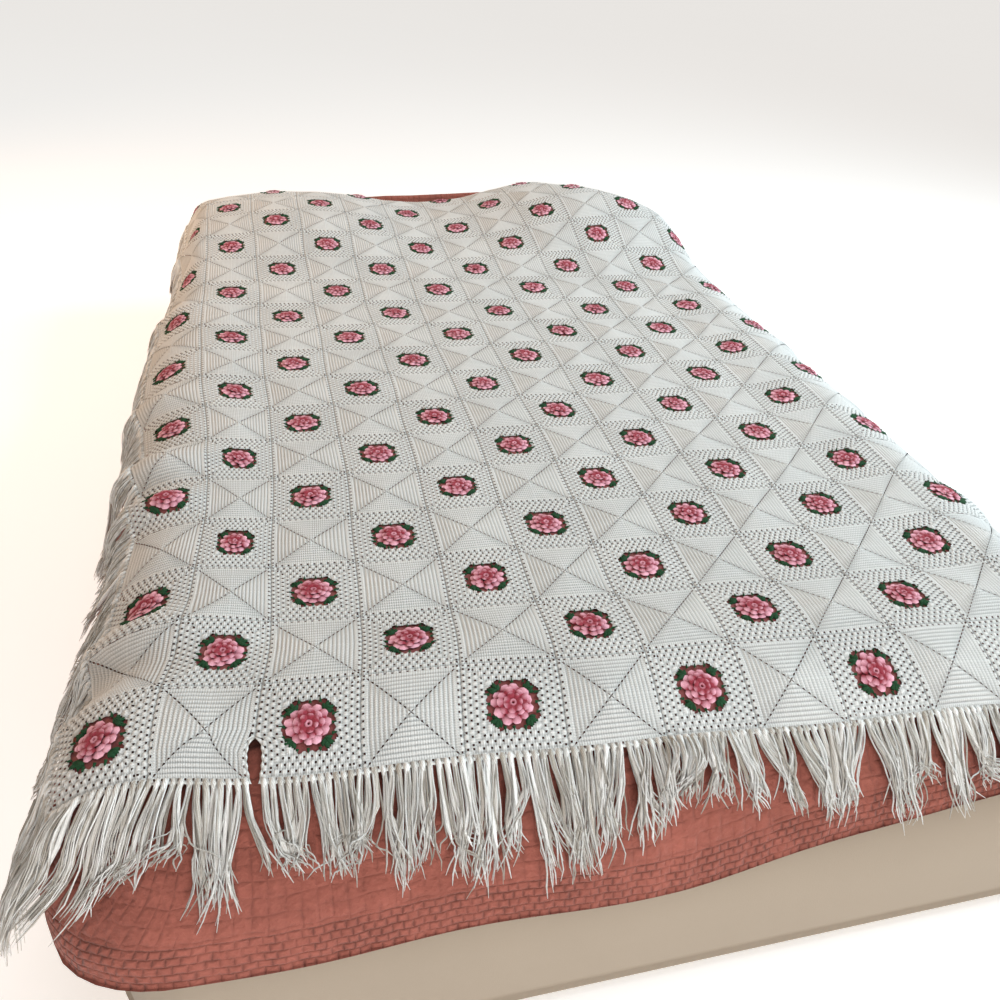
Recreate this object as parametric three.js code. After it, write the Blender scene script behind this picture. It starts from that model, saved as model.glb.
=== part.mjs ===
// Granny square afghan laid over a mattress with two pillows under its cover.
// Millimetres, +Z up, +Y towards the head of the bed, +X to the right seen from its foot.
// The origin is on the floor, under the middle of the whole part.

import * as THREE from 'three';

// Crochet: squares with a raised rose alternate with plain squares, roses in the corners.
const SQUARE = 110;
const COLUMNS = 13;
const ROWS = 17;
const CLOTH_THICKNESS = 3;
const ROSE_RADIUS = 20;
const ROSE_SIDES = 8;
const ROSE_RIM_RISE = 3;
const ROSE_CROWN_RISE = 9;
const LEAF_FRAME_HALF = 33;

// Open gap on the left and right of each rose: distances from the rose's middle, and half lengths.
const GAP_INNER = 23.5;
const GAP_OUTER = 29.5;
const GAP_INNER_HALF_LENGTH = 8;
const GAP_OUTER_HALF_LENGTH = 11;

// The seam between the second and third columns has come undone at the foot edge.
const OPEN_SEAM_COLUMN = 2;
const OPEN_SEAM_LENGTH = SQUARE * 3 / 4;
const OPEN_SEAM_GAPE = 8;

// How finely a square is divided, by column across and by row along the cloth.
const SIDE_DIVISIONS = 3;
const SHOULDER_DIVISIONS = 2;
const FLAT_DIVISIONS = 1;
const ROW_DIVISIONS = 2;
const FOOT_ROW_DIVISIONS = 4;

// Where the cloth lies on the bed: its middle, the slant of its rows and its drift at the foot.
const CLOTH_MIDDLE_X = 45;
const CLOTH_MIDDLE_Y = 28;
const ROW_SLANT = 0.009;
const FOOT_ROW_SLANT = 0.038;
const FOOT_SLANT_REACH = 400;
const FOOT_DRIFT = 21;
const FOOT_CORNER_DRIFT = 20;
const FOOT_LIE_REACH = 690;
const FOOT_CORNER_REACH = 190;
const FOOT_CORNER_RAISE = 28;

// The left edge is tucked in along a stretch some squares up from the foot.
const LEFT_TUCK = { square: 4.4, shift: 37, halfWidth: 550, reach: 275 };

// Gap under the cloth: close on the flat of the bed, wider over its edges and pillows.
const CLEARANCE_FLAT = 0.5;
const CLEARANCE_ROUND = 9.5;

// Mattress under a quilted cover, with rounded top edges.
const MATTRESS_WIDTH = 1370;
const MATTRESS_LENGTH = 2030;
const MATTRESS_HEIGHT = 330;
const SIDE_ROUND = 140;
const FOOT_ROUND = 240;
const HEAD_ROUND = 140;
const ROUND_STEPS = 4;

// Pillows under the cover, rising towards the head.
const PILLOW_FOOT_Y = 377;
const PILLOW_CREST_Y = 777;
const PILLOWS = [
  { x: -337, reach: 515, rise: 57 },
  { x: 450, reach: 590, rise: 110 },
];

// Small tents where the hanging edges gather: place along the edge in squares from the foot.
const LEFT_FOLDS = [
  { square: 1.0, height: 15, halfWidth: 50, reach: 190 },
  { square: 2.0, height: 18, halfWidth: 55, reach: 230 },
  { square: 4.5, height: 20, halfWidth: 50, reach: 160 },
  { square: 5.5, height: 24, halfWidth: 60, reach: 180 },
  { square: 7.5, height: 14, halfWidth: 55, reach: 140 },
  { square: 11.0, height: 12, halfWidth: 70, reach: 150 },
  { square: 14.0, height: 16, halfWidth: 75, reach: 160 },
];
const RIGHT_FOLDS = [
  { square: 1.5, height: 16, halfWidth: 60, reach: 200 },
  { square: 3.5, height: 20, halfWidth: 70, reach: 220 },
  { square: 6.5, height: 14, halfWidth: 60, reach: 180 },
  { square: 9.0, height: 18, halfWidth: 65, reach: 200 },
  { square: 12.0, height: 15, halfWidth: 60, reach: 180 },
  { square: 14.5, height: 22, halfWidth: 75, reach: 210 },
];

// Fringe: yarn locks knotted into a narrow strip along three edges.
const SIDE_LOCKS_PER_SQUARE = 4;
const FOOT_LOCKS_PER_SQUARE = 6;
const LOCK_LENGTH = 112;
const LOCK_LENGTH_SPREAD = 10;
const LOCK_WAIST = 0.42;
const LOCK_WAIST_WIDTH = 0.56;
const LOCK_WAIST_THICKNESS = 7;
const LOCK_TIP_LIFT = 3;
const LOCK_SWAY = 9;
const CORNER_SPLAY = { reach: 22, locks: 6 };
const LEFT_FOOT_SPLAY = { reach: 80, locks: 9 };
const NO_SPLAY = { reach: 0, locks: 1 };
const STRIP_GAP = 0.4;
const STRIP_WIDTH = 6;

const SEAM_PLACE = OPEN_SEAM_COLUMN * SQUARE;
const CLOTH_WIDTH = COLUMNS * SQUARE;
const CLOTH_LENGTH = ROWS * SQUARE;
const HALF_WIDTH = MATTRESS_WIDTH / 2;
const HALF_LENGTH = MATTRESS_LENGTH / 2;
const QUARTER_TURN = Math.PI / 2;
const { clamp, smoothstep, lerp } = THREE.MathUtils;

const COTTON = { color: 0xe9e6de, roughness: 0.95, metalness: 0 };
const YARN = { color: 0xefece5, roughness: 0.95, metalness: 0 };
const COVER = { color: 0xd0705c, roughness: 0.9, metalness: 0 };

// Length that runs over a rounded edge: where it ends up, and how far it has dropped.
function overEdge(along, low, high, lowRound, highRound) {
  const past = Math.max(along - (high - highRound), 0);
  const before = Math.max(low + lowRound - along, 0);
  const highTurn = Math.min(past / highRound, QUARTER_TURN);
  const lowTurn = Math.min(before / lowRound, QUARTER_TURN);
  const place = clamp(along, low + lowRound, high - highRound)
    + highRound * Math.sin(highTurn) - lowRound * Math.sin(lowTurn);
  const drop = highRound * (1 - Math.cos(highTurn)) + lowRound * (1 - Math.cos(lowTurn))
    + Math.max(past - highRound * QUARTER_TURN, 0) + Math.max(before - lowRound * QUARTER_TURN, 0);
  return { place, drop };
}

// Height of the pillows above the flat of the mattress.
function pillowRise(x, y) {
  let rise = 0;
  for (const pillow of PILLOWS) {
    const offset = clamp((x - pillow.x) / pillow.reach, -1, 1);
    rise += pillow.rise * Math.cos(offset * QUARTER_TURN) ** 2;
  }
  return rise * smoothstep(y, PILLOW_FOOT_Y, PILLOW_CREST_Y);
}

// Point on the bed reached by going so far across and along its covered surface.
function bedPoint(across, along) {
  const side = overEdge(across, -HALF_WIDTH, HALF_WIDTH, SIDE_ROUND, SIDE_ROUND);
  const end = overEdge(along, -HALF_LENGTH, HALF_LENGTH, FOOT_ROUND, HEAD_ROUND);
  const height = MATTRESS_HEIGHT + pillowRise(side.place, end.place) - side.drop - end.drop;
  return new THREE.Vector3(side.place, end.place, height);
}

// Outward direction of that surface.
function bedNormal(across, along) {
  const step = 1;
  const acrossStep = bedPoint(across + step, along).sub(bedPoint(across - step, along));
  const alongStep = bedPoint(across, along + step).sub(bedPoint(across, along - step));
  return acrossStep.cross(alongStep).normalize();
}

// Clearance under the cloth at a place on the bed.
function clearance(across, along) {
  const ramp = 110;
  const overSide = smoothstep(Math.abs(across), HALF_WIDTH - SIDE_ROUND - ramp, HALF_WIDTH - SIDE_ROUND);
  const overFoot = smoothstep(-along, HALF_LENGTH - FOOT_ROUND - ramp, HALF_LENGTH - FOOT_ROUND);
  const overPillow = smoothstep(along, PILLOW_FOOT_Y - ramp, PILLOW_FOOT_Y);
  return lerp(CLEARANCE_FLAT, CLEARANCE_ROUND, Math.max(overSide, overFoot, overPillow));
}

// Height of the tents along one hanging edge; inset is the distance in from that edge.
function foldRise(folds, inset, v) {
  let rise = 0;
  for (const fold of folds) {
    const offset = clamp((v + CLOTH_LENGTH / 2 - fold.square * SQUARE) / fold.halfWidth, -1, 1);
    const inward = 1 - smoothstep(inset, 0, fold.reach);
    const outward = smoothstep(inset, -LOCK_LENGTH, 0);
    rise += fold.height * Math.cos(offset * QUARTER_TURN) ** 2 * inward * outward;
  }
  return rise;
}

// How near a point is to the left edge, from 1 on it to 0 at the tuck's reach.
function nearLeftEdge(u) {
  return 1 - smoothstep(u + CLOTH_WIDTH / 2, 0, LEFT_TUCK.reach);
}

// How far the cloth is tucked in at a height along its left edge.
function tuckShift(v) {
  const offset = clamp((v + CLOTH_LENGTH / 2 - LEFT_TUCK.square * SQUARE) / LEFT_TUCK.halfWidth, -1, 1);
  return LEFT_TUCK.shift * Math.cos(offset * QUARTER_TURN) ** 2;
}

// Cloth coordinates, measured from the middle of the afghan, to a point on the draped cloth.
function drape(u, v, lift) {
  const foot = 1 - smoothstep(v, -CLOTH_LENGTH / 2, FOOT_LIE_REACH - CLOTH_LENGTH / 2);
  const footRow = 1 - smoothstep(v, -CLOTH_LENGTH / 2, FOOT_CORNER_REACH - CLOTH_LENGTH / 2);
  const corner = footRow * (1 - smoothstep(u, -CLOTH_WIDTH / 4, CLOTH_WIDTH / 6));
  const leftEdge = nearLeftEdge(u);
  const drift = FOOT_DRIFT * foot + FOOT_CORNER_DRIFT * corner;
  const across = CLOTH_MIDDLE_X + u - drift + tuckShift(v) * leftEdge;
  const slant = u * ROW_SLANT + Math.min(u, FOOT_SLANT_REACH) * FOOT_ROW_SLANT * foot;
  const along = CLOTH_MIDDLE_Y + v - slant + FOOT_CORNER_RAISE * footRow * leftEdge;
  const leftRise = foldRise(LEFT_FOLDS, u + CLOTH_WIDTH / 2, v);
  const rightRise = foldRise(RIGHT_FOLDS, CLOTH_WIDTH / 2 - u, v);
  const height = clearance(across, along) + leftRise + rightRise + lift;
  return bedPoint(across, along).addScaledVector(bedNormal(across, along), height);
}

// Indexed triangles to a geometry.
function geometryFrom(points, triangles) {
  const geometry = new THREE.BufferGeometry().setFromPoints(points);
  geometry.setIndex(triangles.flat());
  geometry.computeVertexNormals();
  return geometry;
}

function meshFrom(name, geometry, finish) {
  const mesh = new THREE.Mesh(geometry, new THREE.MeshStandardMaterial(finish));
  mesh.name = name;
  return mesh;
}

// Two triangles for a four-sided face whose corners run anticlockwise seen from outside.
function quad(a, b, c, d) {
  return [[a, b, c], [a, c, d]];
}

function columnDivisions(column) {
  if (column === 0 || column >= COLUMNS - 2) return SIDE_DIVISIONS;
  if (column === 1 || column === COLUMNS - 3) return SHOULDER_DIVISIONS;
  return FLAT_DIVISIONS;
}

function rowDivisions(row) {
  return row === 0 ? FOOT_ROW_DIVISIONS : ROW_DIVISIONS;
}

// Grid point of a square, with the undone seam spread apart on its own side of the seam.
function squarePoint(column, row, i, j) {
  const left = column * SQUARE + i * SQUARE / columnDivisions(column);
  const v = row * SQUARE + j * SQUARE / rowDivisions(row);
  const onSeam = Math.abs(left - SEAM_PLACE) < 1e-6;
  const gape = onSeam ? OPEN_SEAM_GAPE * Math.max(1 - v / OPEN_SEAM_LENGTH, 0) : 0;
  const u = left + (column < OPEN_SEAM_COLUMN ? -gape : gape);
  return new THREE.Vector2(u - CLOTH_WIDTH / 2, v - CLOTH_LENGTH / 2);
}

// Edge of a square as an anticlockwise outline.
function squareOutline(column, row) {
  const across = columnDivisions(column);
  const along = rowDivisions(row);
  const outline = [];
  for (let i = 0; i < across; i++) outline.push(squarePoint(column, row, i, 0));
  for (let j = 0; j < along; j++) outline.push(squarePoint(column, row, across, j));
  for (let i = across; i > 0; i--) outline.push(squarePoint(column, row, i, along));
  for (let j = along; j > 0; j--) outline.push(squarePoint(column, row, 0, j));
  return outline;
}

// Flat layout of the crochet: points with the rise of their upper face, and the triangles between.
class FlatLayout {
  constructor() {
    this.points = [];
    this.triangles = [];
    this.places = new Map();
  }

  add(point, rise = 0) {
    const key = `${point.x.toFixed(3)} ${point.y.toFixed(3)}`;
    if (!this.places.has(key)) {
      this.places.set(key, this.points.length);
      this.points.push({ u: point.x, v: point.y, rise });
    }
    return this.places.get(key);
  }
}

function addPlainSquare(layout, column, row) {
  for (let i = 0; i < columnDivisions(column); i++) {
    for (let j = 0; j < rowDivisions(row); j++) {
      const corners = [[i, j], [i + 1, j], [i + 1, j + 1], [i, j + 1]];
      const places = corners.map(([a, b]) => layout.add(squarePoint(column, row, a, b)));
      layout.triangles.push(...quad(...places));
    }
  }
}

// Outline of the gap on one side of a rose: -1 on the left, 1 on the right.
function gapOutline(middle, side) {
  const outline = [
    new THREE.Vector2(GAP_INNER, -GAP_INNER_HALF_LENGTH),
    new THREE.Vector2(GAP_OUTER, -GAP_OUTER_HALF_LENGTH),
    new THREE.Vector2(GAP_OUTER, GAP_OUTER_HALF_LENGTH),
    new THREE.Vector2(GAP_INNER, GAP_INNER_HALF_LENGTH),
  ];
  return outline.map((point) => point.multiplyScalar(side).add(middle));
}

function roseRim(middle) {
  const rim = [];
  for (let k = 0; k < ROSE_SIDES; k++) {
    const turn = 2 * Math.PI * (k + 0.5) / ROSE_SIDES;
    rim.push(new THREE.Vector2(Math.cos(turn), Math.sin(turn)).multiplyScalar(ROSE_RADIUS).add(middle));
  }
  return rim;
}

// Corners of the leaf frame round a rose.
function leafFrame(middle) {
  const corners = [[-1, -1], [1, -1], [1, 1], [-1, 1]];
  return corners.map(([x, y]) => new THREE.Vector2(x, y).multiplyScalar(LEAF_FRAME_HALF).add(middle));
}

// Fills the space between an outline and the holes in it.
function addRegion(layout, outline, holes) {
  const places = [...outline, ...holes.flat()].map((point) => layout.add(point));
  for (const face of THREE.ShapeUtils.triangulateShape(outline, holes)) {
    layout.triangles.push(face.map((k) => places[k]));
  }
}

// Where the cloth bends over a side of the bed, the leaf frame breaks up its longer triangles.
function addRoseSquare(layout, column, row) {
  const middle = new THREE.Vector2(column + 0.5, row + 0.5).multiplyScalar(SQUARE);
  middle.sub(new THREE.Vector2(CLOTH_WIDTH / 2, CLOTH_LENGTH / 2));
  const rim = roseRim(middle);
  const rimPlaces = rim.map((point) => layout.add(point, ROSE_RIM_RISE));
  const crown = layout.add(middle, ROSE_CROWN_RISE);
  rimPlaces.forEach((place, k) => {
    layout.triangles.push([place, rimPlaces[(k + 1) % ROSE_SIDES], crown]);
  });
  const openings = [gapOutline(middle, -1), gapOutline(middle, 1), rim];
  const outline = squareOutline(column, row);
  if (columnDivisions(column) === SIDE_DIVISIONS) {
    const frame = leafFrame(middle);
    addRegion(layout, outline, [frame]);
    addRegion(layout, frame, openings);
  } else {
    addRegion(layout, outline, openings);
  }
}

// Edges that belong to one triangle only: the rim of the cloth and of its gaps.
function openEdges(triangles) {
  const edges = new Map();
  for (const [a, b, c] of triangles) {
    for (const [from, to] of [[a, b], [b, c], [c, a]]) {
      const twin = `${to} ${from}`;
      if (edges.has(twin)) edges.delete(twin);
      else edges.set(`${from} ${to}`, [from, to]);
    }
  }
  return [...edges.values()];
}

// Draped cloth: an upper and a lower face over the flat layout, walled along every open edge.
function afghanGeometry() {
  const layout = new FlatLayout();
  for (let row = 0; row < ROWS; row++) {
    for (let column = 0; column < COLUMNS; column++) {
      const addSquare = (row + column) % 2 === 0 ? addRoseSquare : addPlainSquare;
      addSquare(layout, column, row);
    }
  }
  const count = layout.points.length;
  const upper = layout.points.map(({ u, v, rise }) => drape(u, v, CLOTH_THICKNESS + rise));
  const lower = layout.points.map(({ u, v }) => drape(u, v, 0));
  const triangles = [...layout.triangles];
  for (const [a, b, c] of layout.triangles) triangles.push([c + count, b + count, a + count]);
  for (const [from, to] of openEdges(layout.triangles)) {
    triangles.push(...quad(to, from, from + count, to + count));
  }
  return geometryFrom([...upper, ...lower], triangles);
}

// Running distances from the start of the cloth to each division line of its rows or columns.
function divisionPlaces(squares, divisions) {
  const places = [0];
  for (let square = 0; square < squares; square++) {
    const count = divisions(square);
    for (let k = 1; k <= count; k++) places.push((square + k / count) * SQUARE);
  }
  return places;
}

// Each edge turns a length along it and a distance out from it into cloth coordinates. The edges run
// anticlockwise round the cloth seen from above, so that each fringe is built the same way.
const ROW_PLACES = divisionPlaces(ROWS, rowDivisions);
const SEAM_SIDES = [SEAM_PLACE - OPEN_SEAM_GAPE, SEAM_PLACE + OPEN_SEAM_GAPE];
const FOOT_PLACES = divisionPlaces(COLUMNS, columnDivisions)
  .flatMap((place) => (place === SEAM_PLACE ? SEAM_SIDES : place));
const EDGES = {
  left: {
    place: (s, out) => [-CLOTH_WIDTH / 2 - out, CLOTH_LENGTH / 2 - s],
    breaks: ROW_PLACES.map((place) => CLOTH_LENGTH - place).reverse(),
    locks: SIDE_LOCKS_PER_SQUARE,
  },
  foot: {
    place: (s, out) => [s - CLOTH_WIDTH / 2, -CLOTH_LENGTH / 2 - out],
    breaks: FOOT_PLACES,
    locks: FOOT_LOCKS_PER_SQUARE,
  },
  right: {
    place: (s, out) => [CLOTH_WIDTH / 2 + out, s - CLOTH_LENGTH / 2],
    breaks: ROW_PLACES,
    locks: SIDE_LOCKS_PER_SQUARE,
  },
};

// Point beside the cloth's edge, on the straight run between two of the cloth's own edge points.
function besideEdge({ place, breaks }, s, out, lift) {
  const next = clamp(breaks.findIndex((stop) => stop > s), 1, breaks.length - 1);
  const [before, after] = s >= breaks.at(-1) ? breaks.slice(-2) : [breaks[next - 1], breaks[next]];
  const share = (s - before) / (after - before);
  return drape(...place(before, out), lift).lerp(drape(...place(after, out), lift), share);
}

// Uneven sideways lean of a lock's end.
function lockSway(index) {
  return LOCK_SWAY * (0.7 * Math.sin(index * 0.83) + 0.45 * Math.sin(index * 2.31 + 1));
}

// Locks near a free corner of the cloth fan out towards it.
function cornerSplay(index, count, splayStart, splayEnd) {
  const start = splayStart.reach * Math.max(1 - index / splayStart.locks, 0);
  const end = splayEnd.reach * Math.max(1 - (count - 1 - index) / splayEnd.locks, 0);
  return end - start;
}

// Strip along a stretch of an edge, its outer face drawn out into tapered four-sided locks.
function fringeGeometry({ edge, from, to, splayStart, splayEnd }) {
  const side = EDGES[edge];
  const count = Math.round((to - from) / SQUARE * side.locks);
  const pitch = (to - from) / count;
  const points = [];
  const triangles = [];
  const addBeside = (s, out, lift) => points.push(besideEdge(side, s, out, lift)) - 1;
  const add = (s, out, lift) => points.push(drape(...side.place(s, out), lift)) - 1;

  const stations = [];
  for (let k = 0; k <= count; k++) {
    const s = from + k * pitch;
    stations.push({
      innerTop: addBeside(s, STRIP_GAP, CLOTH_THICKNESS),
      innerBottom: addBeside(s, STRIP_GAP, 0),
      outerTop: addBeside(s, STRIP_GAP + STRIP_WIDTH, CLOTH_THICKNESS),
      outerBottom: addBeside(s, STRIP_GAP + STRIP_WIDTH, 0),
    });
  }
  for (let k = 0; k < count; k++) {
    const [near, far] = [stations[k], stations[k + 1]];
    triangles.push(...quad(near.innerTop, near.outerTop, far.outerTop, far.innerTop));
    triangles.push(...quad(near.innerBottom, far.innerBottom, far.outerBottom, near.outerBottom));
    triangles.push(...quad(near.innerTop, far.innerTop, far.innerBottom, near.innerBottom));

    const length = LOCK_LENGTH + LOCK_LENGTH_SPREAD * Math.sin(k * 1.7 + 0.4);
    const sway = lockSway(k) + cornerSplay(k, count, splayStart, splayEnd);
    const root = STRIP_GAP + STRIP_WIDTH;
    const middle = from + (k + 0.5) * pitch;
    const waistMiddle = middle + sway * LOCK_WAIST;
    const waistHalf = pitch * LOCK_WAIST_WIDTH / 2;
    const waistOut = root + length * LOCK_WAIST;
    const nearTop = add(waistMiddle - waistHalf, waistOut, LOCK_WAIST_THICKNESS);
    const farTop = add(waistMiddle + waistHalf, waistOut, LOCK_WAIST_THICKNESS);
    const nearBottom = add(waistMiddle - waistHalf, waistOut, 0);
    const farBottom = add(waistMiddle + waistHalf, waistOut, 0);
    const tip = add(middle + sway, root + length, LOCK_TIP_LIFT);

    triangles.push(...quad(near.outerTop, nearTop, farTop, far.outerTop));
    triangles.push(...quad(near.outerBottom, far.outerBottom, farBottom, nearBottom));
    triangles.push(...quad(near.outerTop, near.outerBottom, nearBottom, nearTop));
    triangles.push(...quad(far.outerTop, farTop, farBottom, far.outerBottom));
    triangles.push([nearTop, tip, farTop], [farBottom, tip, nearBottom]);
    triangles.push([nearBottom, tip, nearTop], [farTop, tip, farBottom]);
  }
  const [first, last] = [stations[0], stations[count]];
  triangles.push(...quad(first.innerTop, first.innerBottom, first.outerBottom, first.outerTop));
  triangles.push(...quad(last.innerTop, last.outerTop, last.outerBottom, last.innerBottom));
  return geometryFrom(points, triangles);
}

// Evenly spaced values from low to high, both included.
function spaced(low, high, steps) {
  return Array.from({ length: steps + 1 }, (_, k) => lerp(low, high, k / steps));
}

// Places of the mattress grid lines: whole numbers of rounding steps outside the flat top.
function gridLines(flatPlaces) {
  const before = spaced(-1, 0, ROUND_STEPS).slice(0, -1).map((round) => ({ place: flatPlaces[0], round }));
  const flat = flatPlaces.map((place) => ({ place, round: 0 }));
  const after = spaced(0, 1, ROUND_STEPS).slice(1).map((round) => ({ place: flatPlaces.at(-1), round }));
  return [...before, ...flat, ...after];
}

// Point of the mattress top: beyond the flat it turns down, and the corners are rounded in plan.
function mattressTopPoint(column, row) {
  const endRound = row.round < 0 ? FOOT_ROUND : HEAD_ROUND;
  const turn = Math.max(Math.abs(column.round), Math.abs(row.round)) * QUARTER_TURN;
  const heading = new THREE.Vector2(column.round, row.round).normalize();
  const x = column.place + SIDE_ROUND * heading.x * Math.sin(turn);
  const y = row.place + endRound * heading.y * Math.sin(turn);
  const round = SIDE_ROUND * heading.x ** 2 + endRound * heading.y ** 2;
  const z = MATTRESS_HEIGHT + pillowRise(x, y) - round * (1 - Math.cos(turn));
  return new THREE.Vector3(x, y, z);
}

function mattressGeometry() {
  const crossSteps = 18;
  const flatSteps = 4;
  const pillowSteps = 9;
  const columns = gridLines(spaced(SIDE_ROUND - HALF_WIDTH, HALF_WIDTH - SIDE_ROUND, crossSteps));
  const rows = gridLines([
    ...spaced(FOOT_ROUND - HALF_LENGTH, PILLOW_FOOT_Y, flatSteps).slice(0, -1),
    ...spaced(PILLOW_FOOT_Y, HALF_LENGTH - HEAD_ROUND, pillowSteps),
  ]);
  const points = rows.flatMap((row) => columns.map((column) => mattressTopPoint(column, row)));
  const width = columns.length;
  const triangles = [];
  for (let j = 0; j < rows.length - 1; j++) {
    for (let i = 0; i < width - 1; i++) {
      const corner = j * width + i;
      triangles.push(...quad(corner, corner + 1, corner + width + 1, corner + width));
    }
  }
  const rim = openEdges(triangles);
  const following = new Map(rim);
  const ring = [rim[0][0]];
  while (ring.length < rim.length) ring.push(following.get(ring.at(-1)));
  const floor = points.length;
  for (const k of ring) points.push(new THREE.Vector3(points[k].x, points[k].y, 0));
  ring.forEach((k, i) => {
    const next = (i + 1) % ring.length;
    triangles.push(...quad(ring[next], k, floor + i, floor + next));
  });
  const outline = points.slice(floor).map(({ x, y }) => new THREE.Vector2(x, y));
  for (const [a, b, c] of THREE.ShapeUtils.triangulateShape(outline, [])) {
    triangles.push([floor + c, floor + b, floor + a]);
  }
  return geometryFrom(points, triangles);
}

const FRINGES = {
  fringe_left: { edge: 'left', from: 0, to: CLOTH_LENGTH, splayStart: NO_SPLAY, splayEnd: CORNER_SPLAY },
  fringe_foot_corner: {
    edge: 'foot', from: 0, to: SEAM_PLACE - OPEN_SEAM_GAPE,
    splayStart: LEFT_FOOT_SPLAY, splayEnd: NO_SPLAY,
  },
  fringe_foot: {
    edge: 'foot', from: SEAM_PLACE + OPEN_SEAM_GAPE, to: CLOTH_WIDTH,
    splayStart: NO_SPLAY, splayEnd: CORNER_SPLAY,
  },
  fringe_right: { edge: 'right', from: 0, to: CLOTH_LENGTH, splayStart: CORNER_SPLAY, splayEnd: NO_SPLAY },
};

const bed = new THREE.Group();
bed.add(meshFrom('mattress', mattressGeometry(), COVER));
bed.add(meshFrom('afghan', afghanGeometry(), COTTON));
for (const [name, stretch] of Object.entries(FRINGES)) {
  bed.add(meshFrom(name, fringeGeometry(stretch), YARN));
}

// The middle of the whole part, fringes included, stands over the origin.
const middle = new THREE.Box3().setFromObject(bed).getCenter(new THREE.Vector3());
bed.position.set(-middle.x, -middle.y, 0);

const part = new THREE.Group();
part.add(bed);

export default part;
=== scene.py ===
"""A granny square afghan over a bed with a coral quilt: crochet squares, roses, leaves, edging and
fringe."""

import bpy
import numpy as np
from mathutils import Matrix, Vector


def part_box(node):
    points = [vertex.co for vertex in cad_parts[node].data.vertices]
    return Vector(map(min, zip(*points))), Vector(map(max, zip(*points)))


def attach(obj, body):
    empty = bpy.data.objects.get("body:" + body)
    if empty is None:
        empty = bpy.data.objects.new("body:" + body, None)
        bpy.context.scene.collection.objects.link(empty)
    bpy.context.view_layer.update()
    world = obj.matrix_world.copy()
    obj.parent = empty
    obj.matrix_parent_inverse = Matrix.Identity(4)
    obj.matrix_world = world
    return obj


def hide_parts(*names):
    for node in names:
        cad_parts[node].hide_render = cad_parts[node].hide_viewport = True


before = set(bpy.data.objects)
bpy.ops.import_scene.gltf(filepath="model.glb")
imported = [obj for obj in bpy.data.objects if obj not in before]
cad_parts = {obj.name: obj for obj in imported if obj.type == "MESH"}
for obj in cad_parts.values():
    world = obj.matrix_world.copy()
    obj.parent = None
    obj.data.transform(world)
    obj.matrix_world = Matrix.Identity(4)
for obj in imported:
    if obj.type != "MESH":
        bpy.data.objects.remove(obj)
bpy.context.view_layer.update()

bl_info = {
    "name": "Granny Square Afghan",
    "version": (1, 0, 0),
    "blender": (4, 5, 0),
    "location": "View3D > Sidebar > Afghan",
    "description": "Builds a crocheted rose afghan draped over a quilted bed",
    "category": "Add Mesh",
}

# The bed, in metres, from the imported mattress
BED_LOW, BED_HIGH = (np.array(corner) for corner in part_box("mattress"))
BED_MIDDLE = (BED_LOW + BED_HIGH) / 2 * np.array([1, 1, 0])
HALF_WIDTH, HALF_LENGTH = (BED_HIGH - BED_LOW)[:2] / 2
BED_TOP = 0.330
SIDE_ROUND = 0.140
FOOT_ROUND = 0.240
HEAD_ROUND = 0.140
PILLOW_FOOT = 0.377
PILLOW_CREST = 0.777
# Middle across the bed, reach to each side, rise, and share of the rise that is lost behind the crest
PILLOWS = ((-0.337, 0.515, 0.057, 0.0), (0.450, 0.590, 0.110, 0.60))
# Where that loss starts and is full along the bed and across it, and how much nearer the foot it starts
# for each metre past a place across
PILLOW_FALL = (0.820, 1.060)
PILLOW_FALL_ACROSS = (0.150, 0.400)
PILLOW_FALL_SLANT = 0.80
PILLOW_FALL_PLACE = 0.300
# The sides are drawn in near the head: from which share of the half width, and for the left and right
# side how far and between which places along the bed
DRAW_EDGE = 0.79
LEFT_DRAW = (0.050, 0.020, 0.700)
RIGHT_DRAW = (0.030, 0.320, 0.620)

# The quilt's end is turned over in a soft roll behind the afghan's head edge: height, reach to each side
# of the bed's middle, and lengths along the bed where it starts, is full, starts to fall and ends
HEAD_ROLL = 0.062
HEAD_ROLL_REACH = 0.420
HEAD_ROLL_RISE = (0.968, 0.998)
HEAD_ROLL_FALL = (1.020, 1.100)
# The quilt's rings on the bed's flat top, as shares of the way out from its middle, and the share of the
# turn over the round where they get closer
QUILT_FLAT = (0.04, 0.22, 0.39, 0.45, 0.51, 0.57, 0.63, 0.70, 0.77, 0.84, 0.91, 0.97)
QUILT_CLOSER = 0.42
# Share of the afghan's side folds that the quilt follows, depth of its puffs, gap below the cloth, how
# much deeper it lies inside the cloth's edge and between which distances from it, and the radius that its
# hem rolls under with
QUILT_FOLLOWS = 0.75
QUILT_PUFF = 0.0030
QUILT_GAP = 0.0004
QUILT_SINK = 0.0040
QUILT_SINK_REACH = (0.010, 0.060)
QUILT_HEM_ROLL = 0.0045
# Height of the hem at the foot's left, its rise to the right and between which places across, and height
# elsewhere
HEM_FOOT = 0.170
HEM_FOOT_RISE = 0.038
HEM_RISE_ACROSS = (-0.05, 0.34)
HEM_ELSEWHERE = 0.120
# Blocks of the hem's own stitching up from its edge
HEM_BLOCKS = 2.5
# Width of the strip that closes a run round the bed
CLOSING_STRIP = 0.001

# The mattress wall: how far it is inside the quilt, turn over the round where it starts, height of its
# lower edge, how far that edge turns in, and the size of the ring below it
WALL_INSET = 0.010
WALL_FIRST_TURN = 0.72
WALL_BOTTOM = 0.012
WALL_TURN_IN = 0.010
WALL_INNER_RING = 0.2
# Share of the way down the wall, and how far it bulges there
WALL_LEVELS = (
    (0.25, 0.0015),
    (0.50, 0.0020),
    (0.75, 0.0015),
    (0.90, 0.0),
    (0.93, 0.0045),
    (0.955, 0.0045),
    (0.97, 0.0),
    (1.0, -0.003),
)

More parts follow.
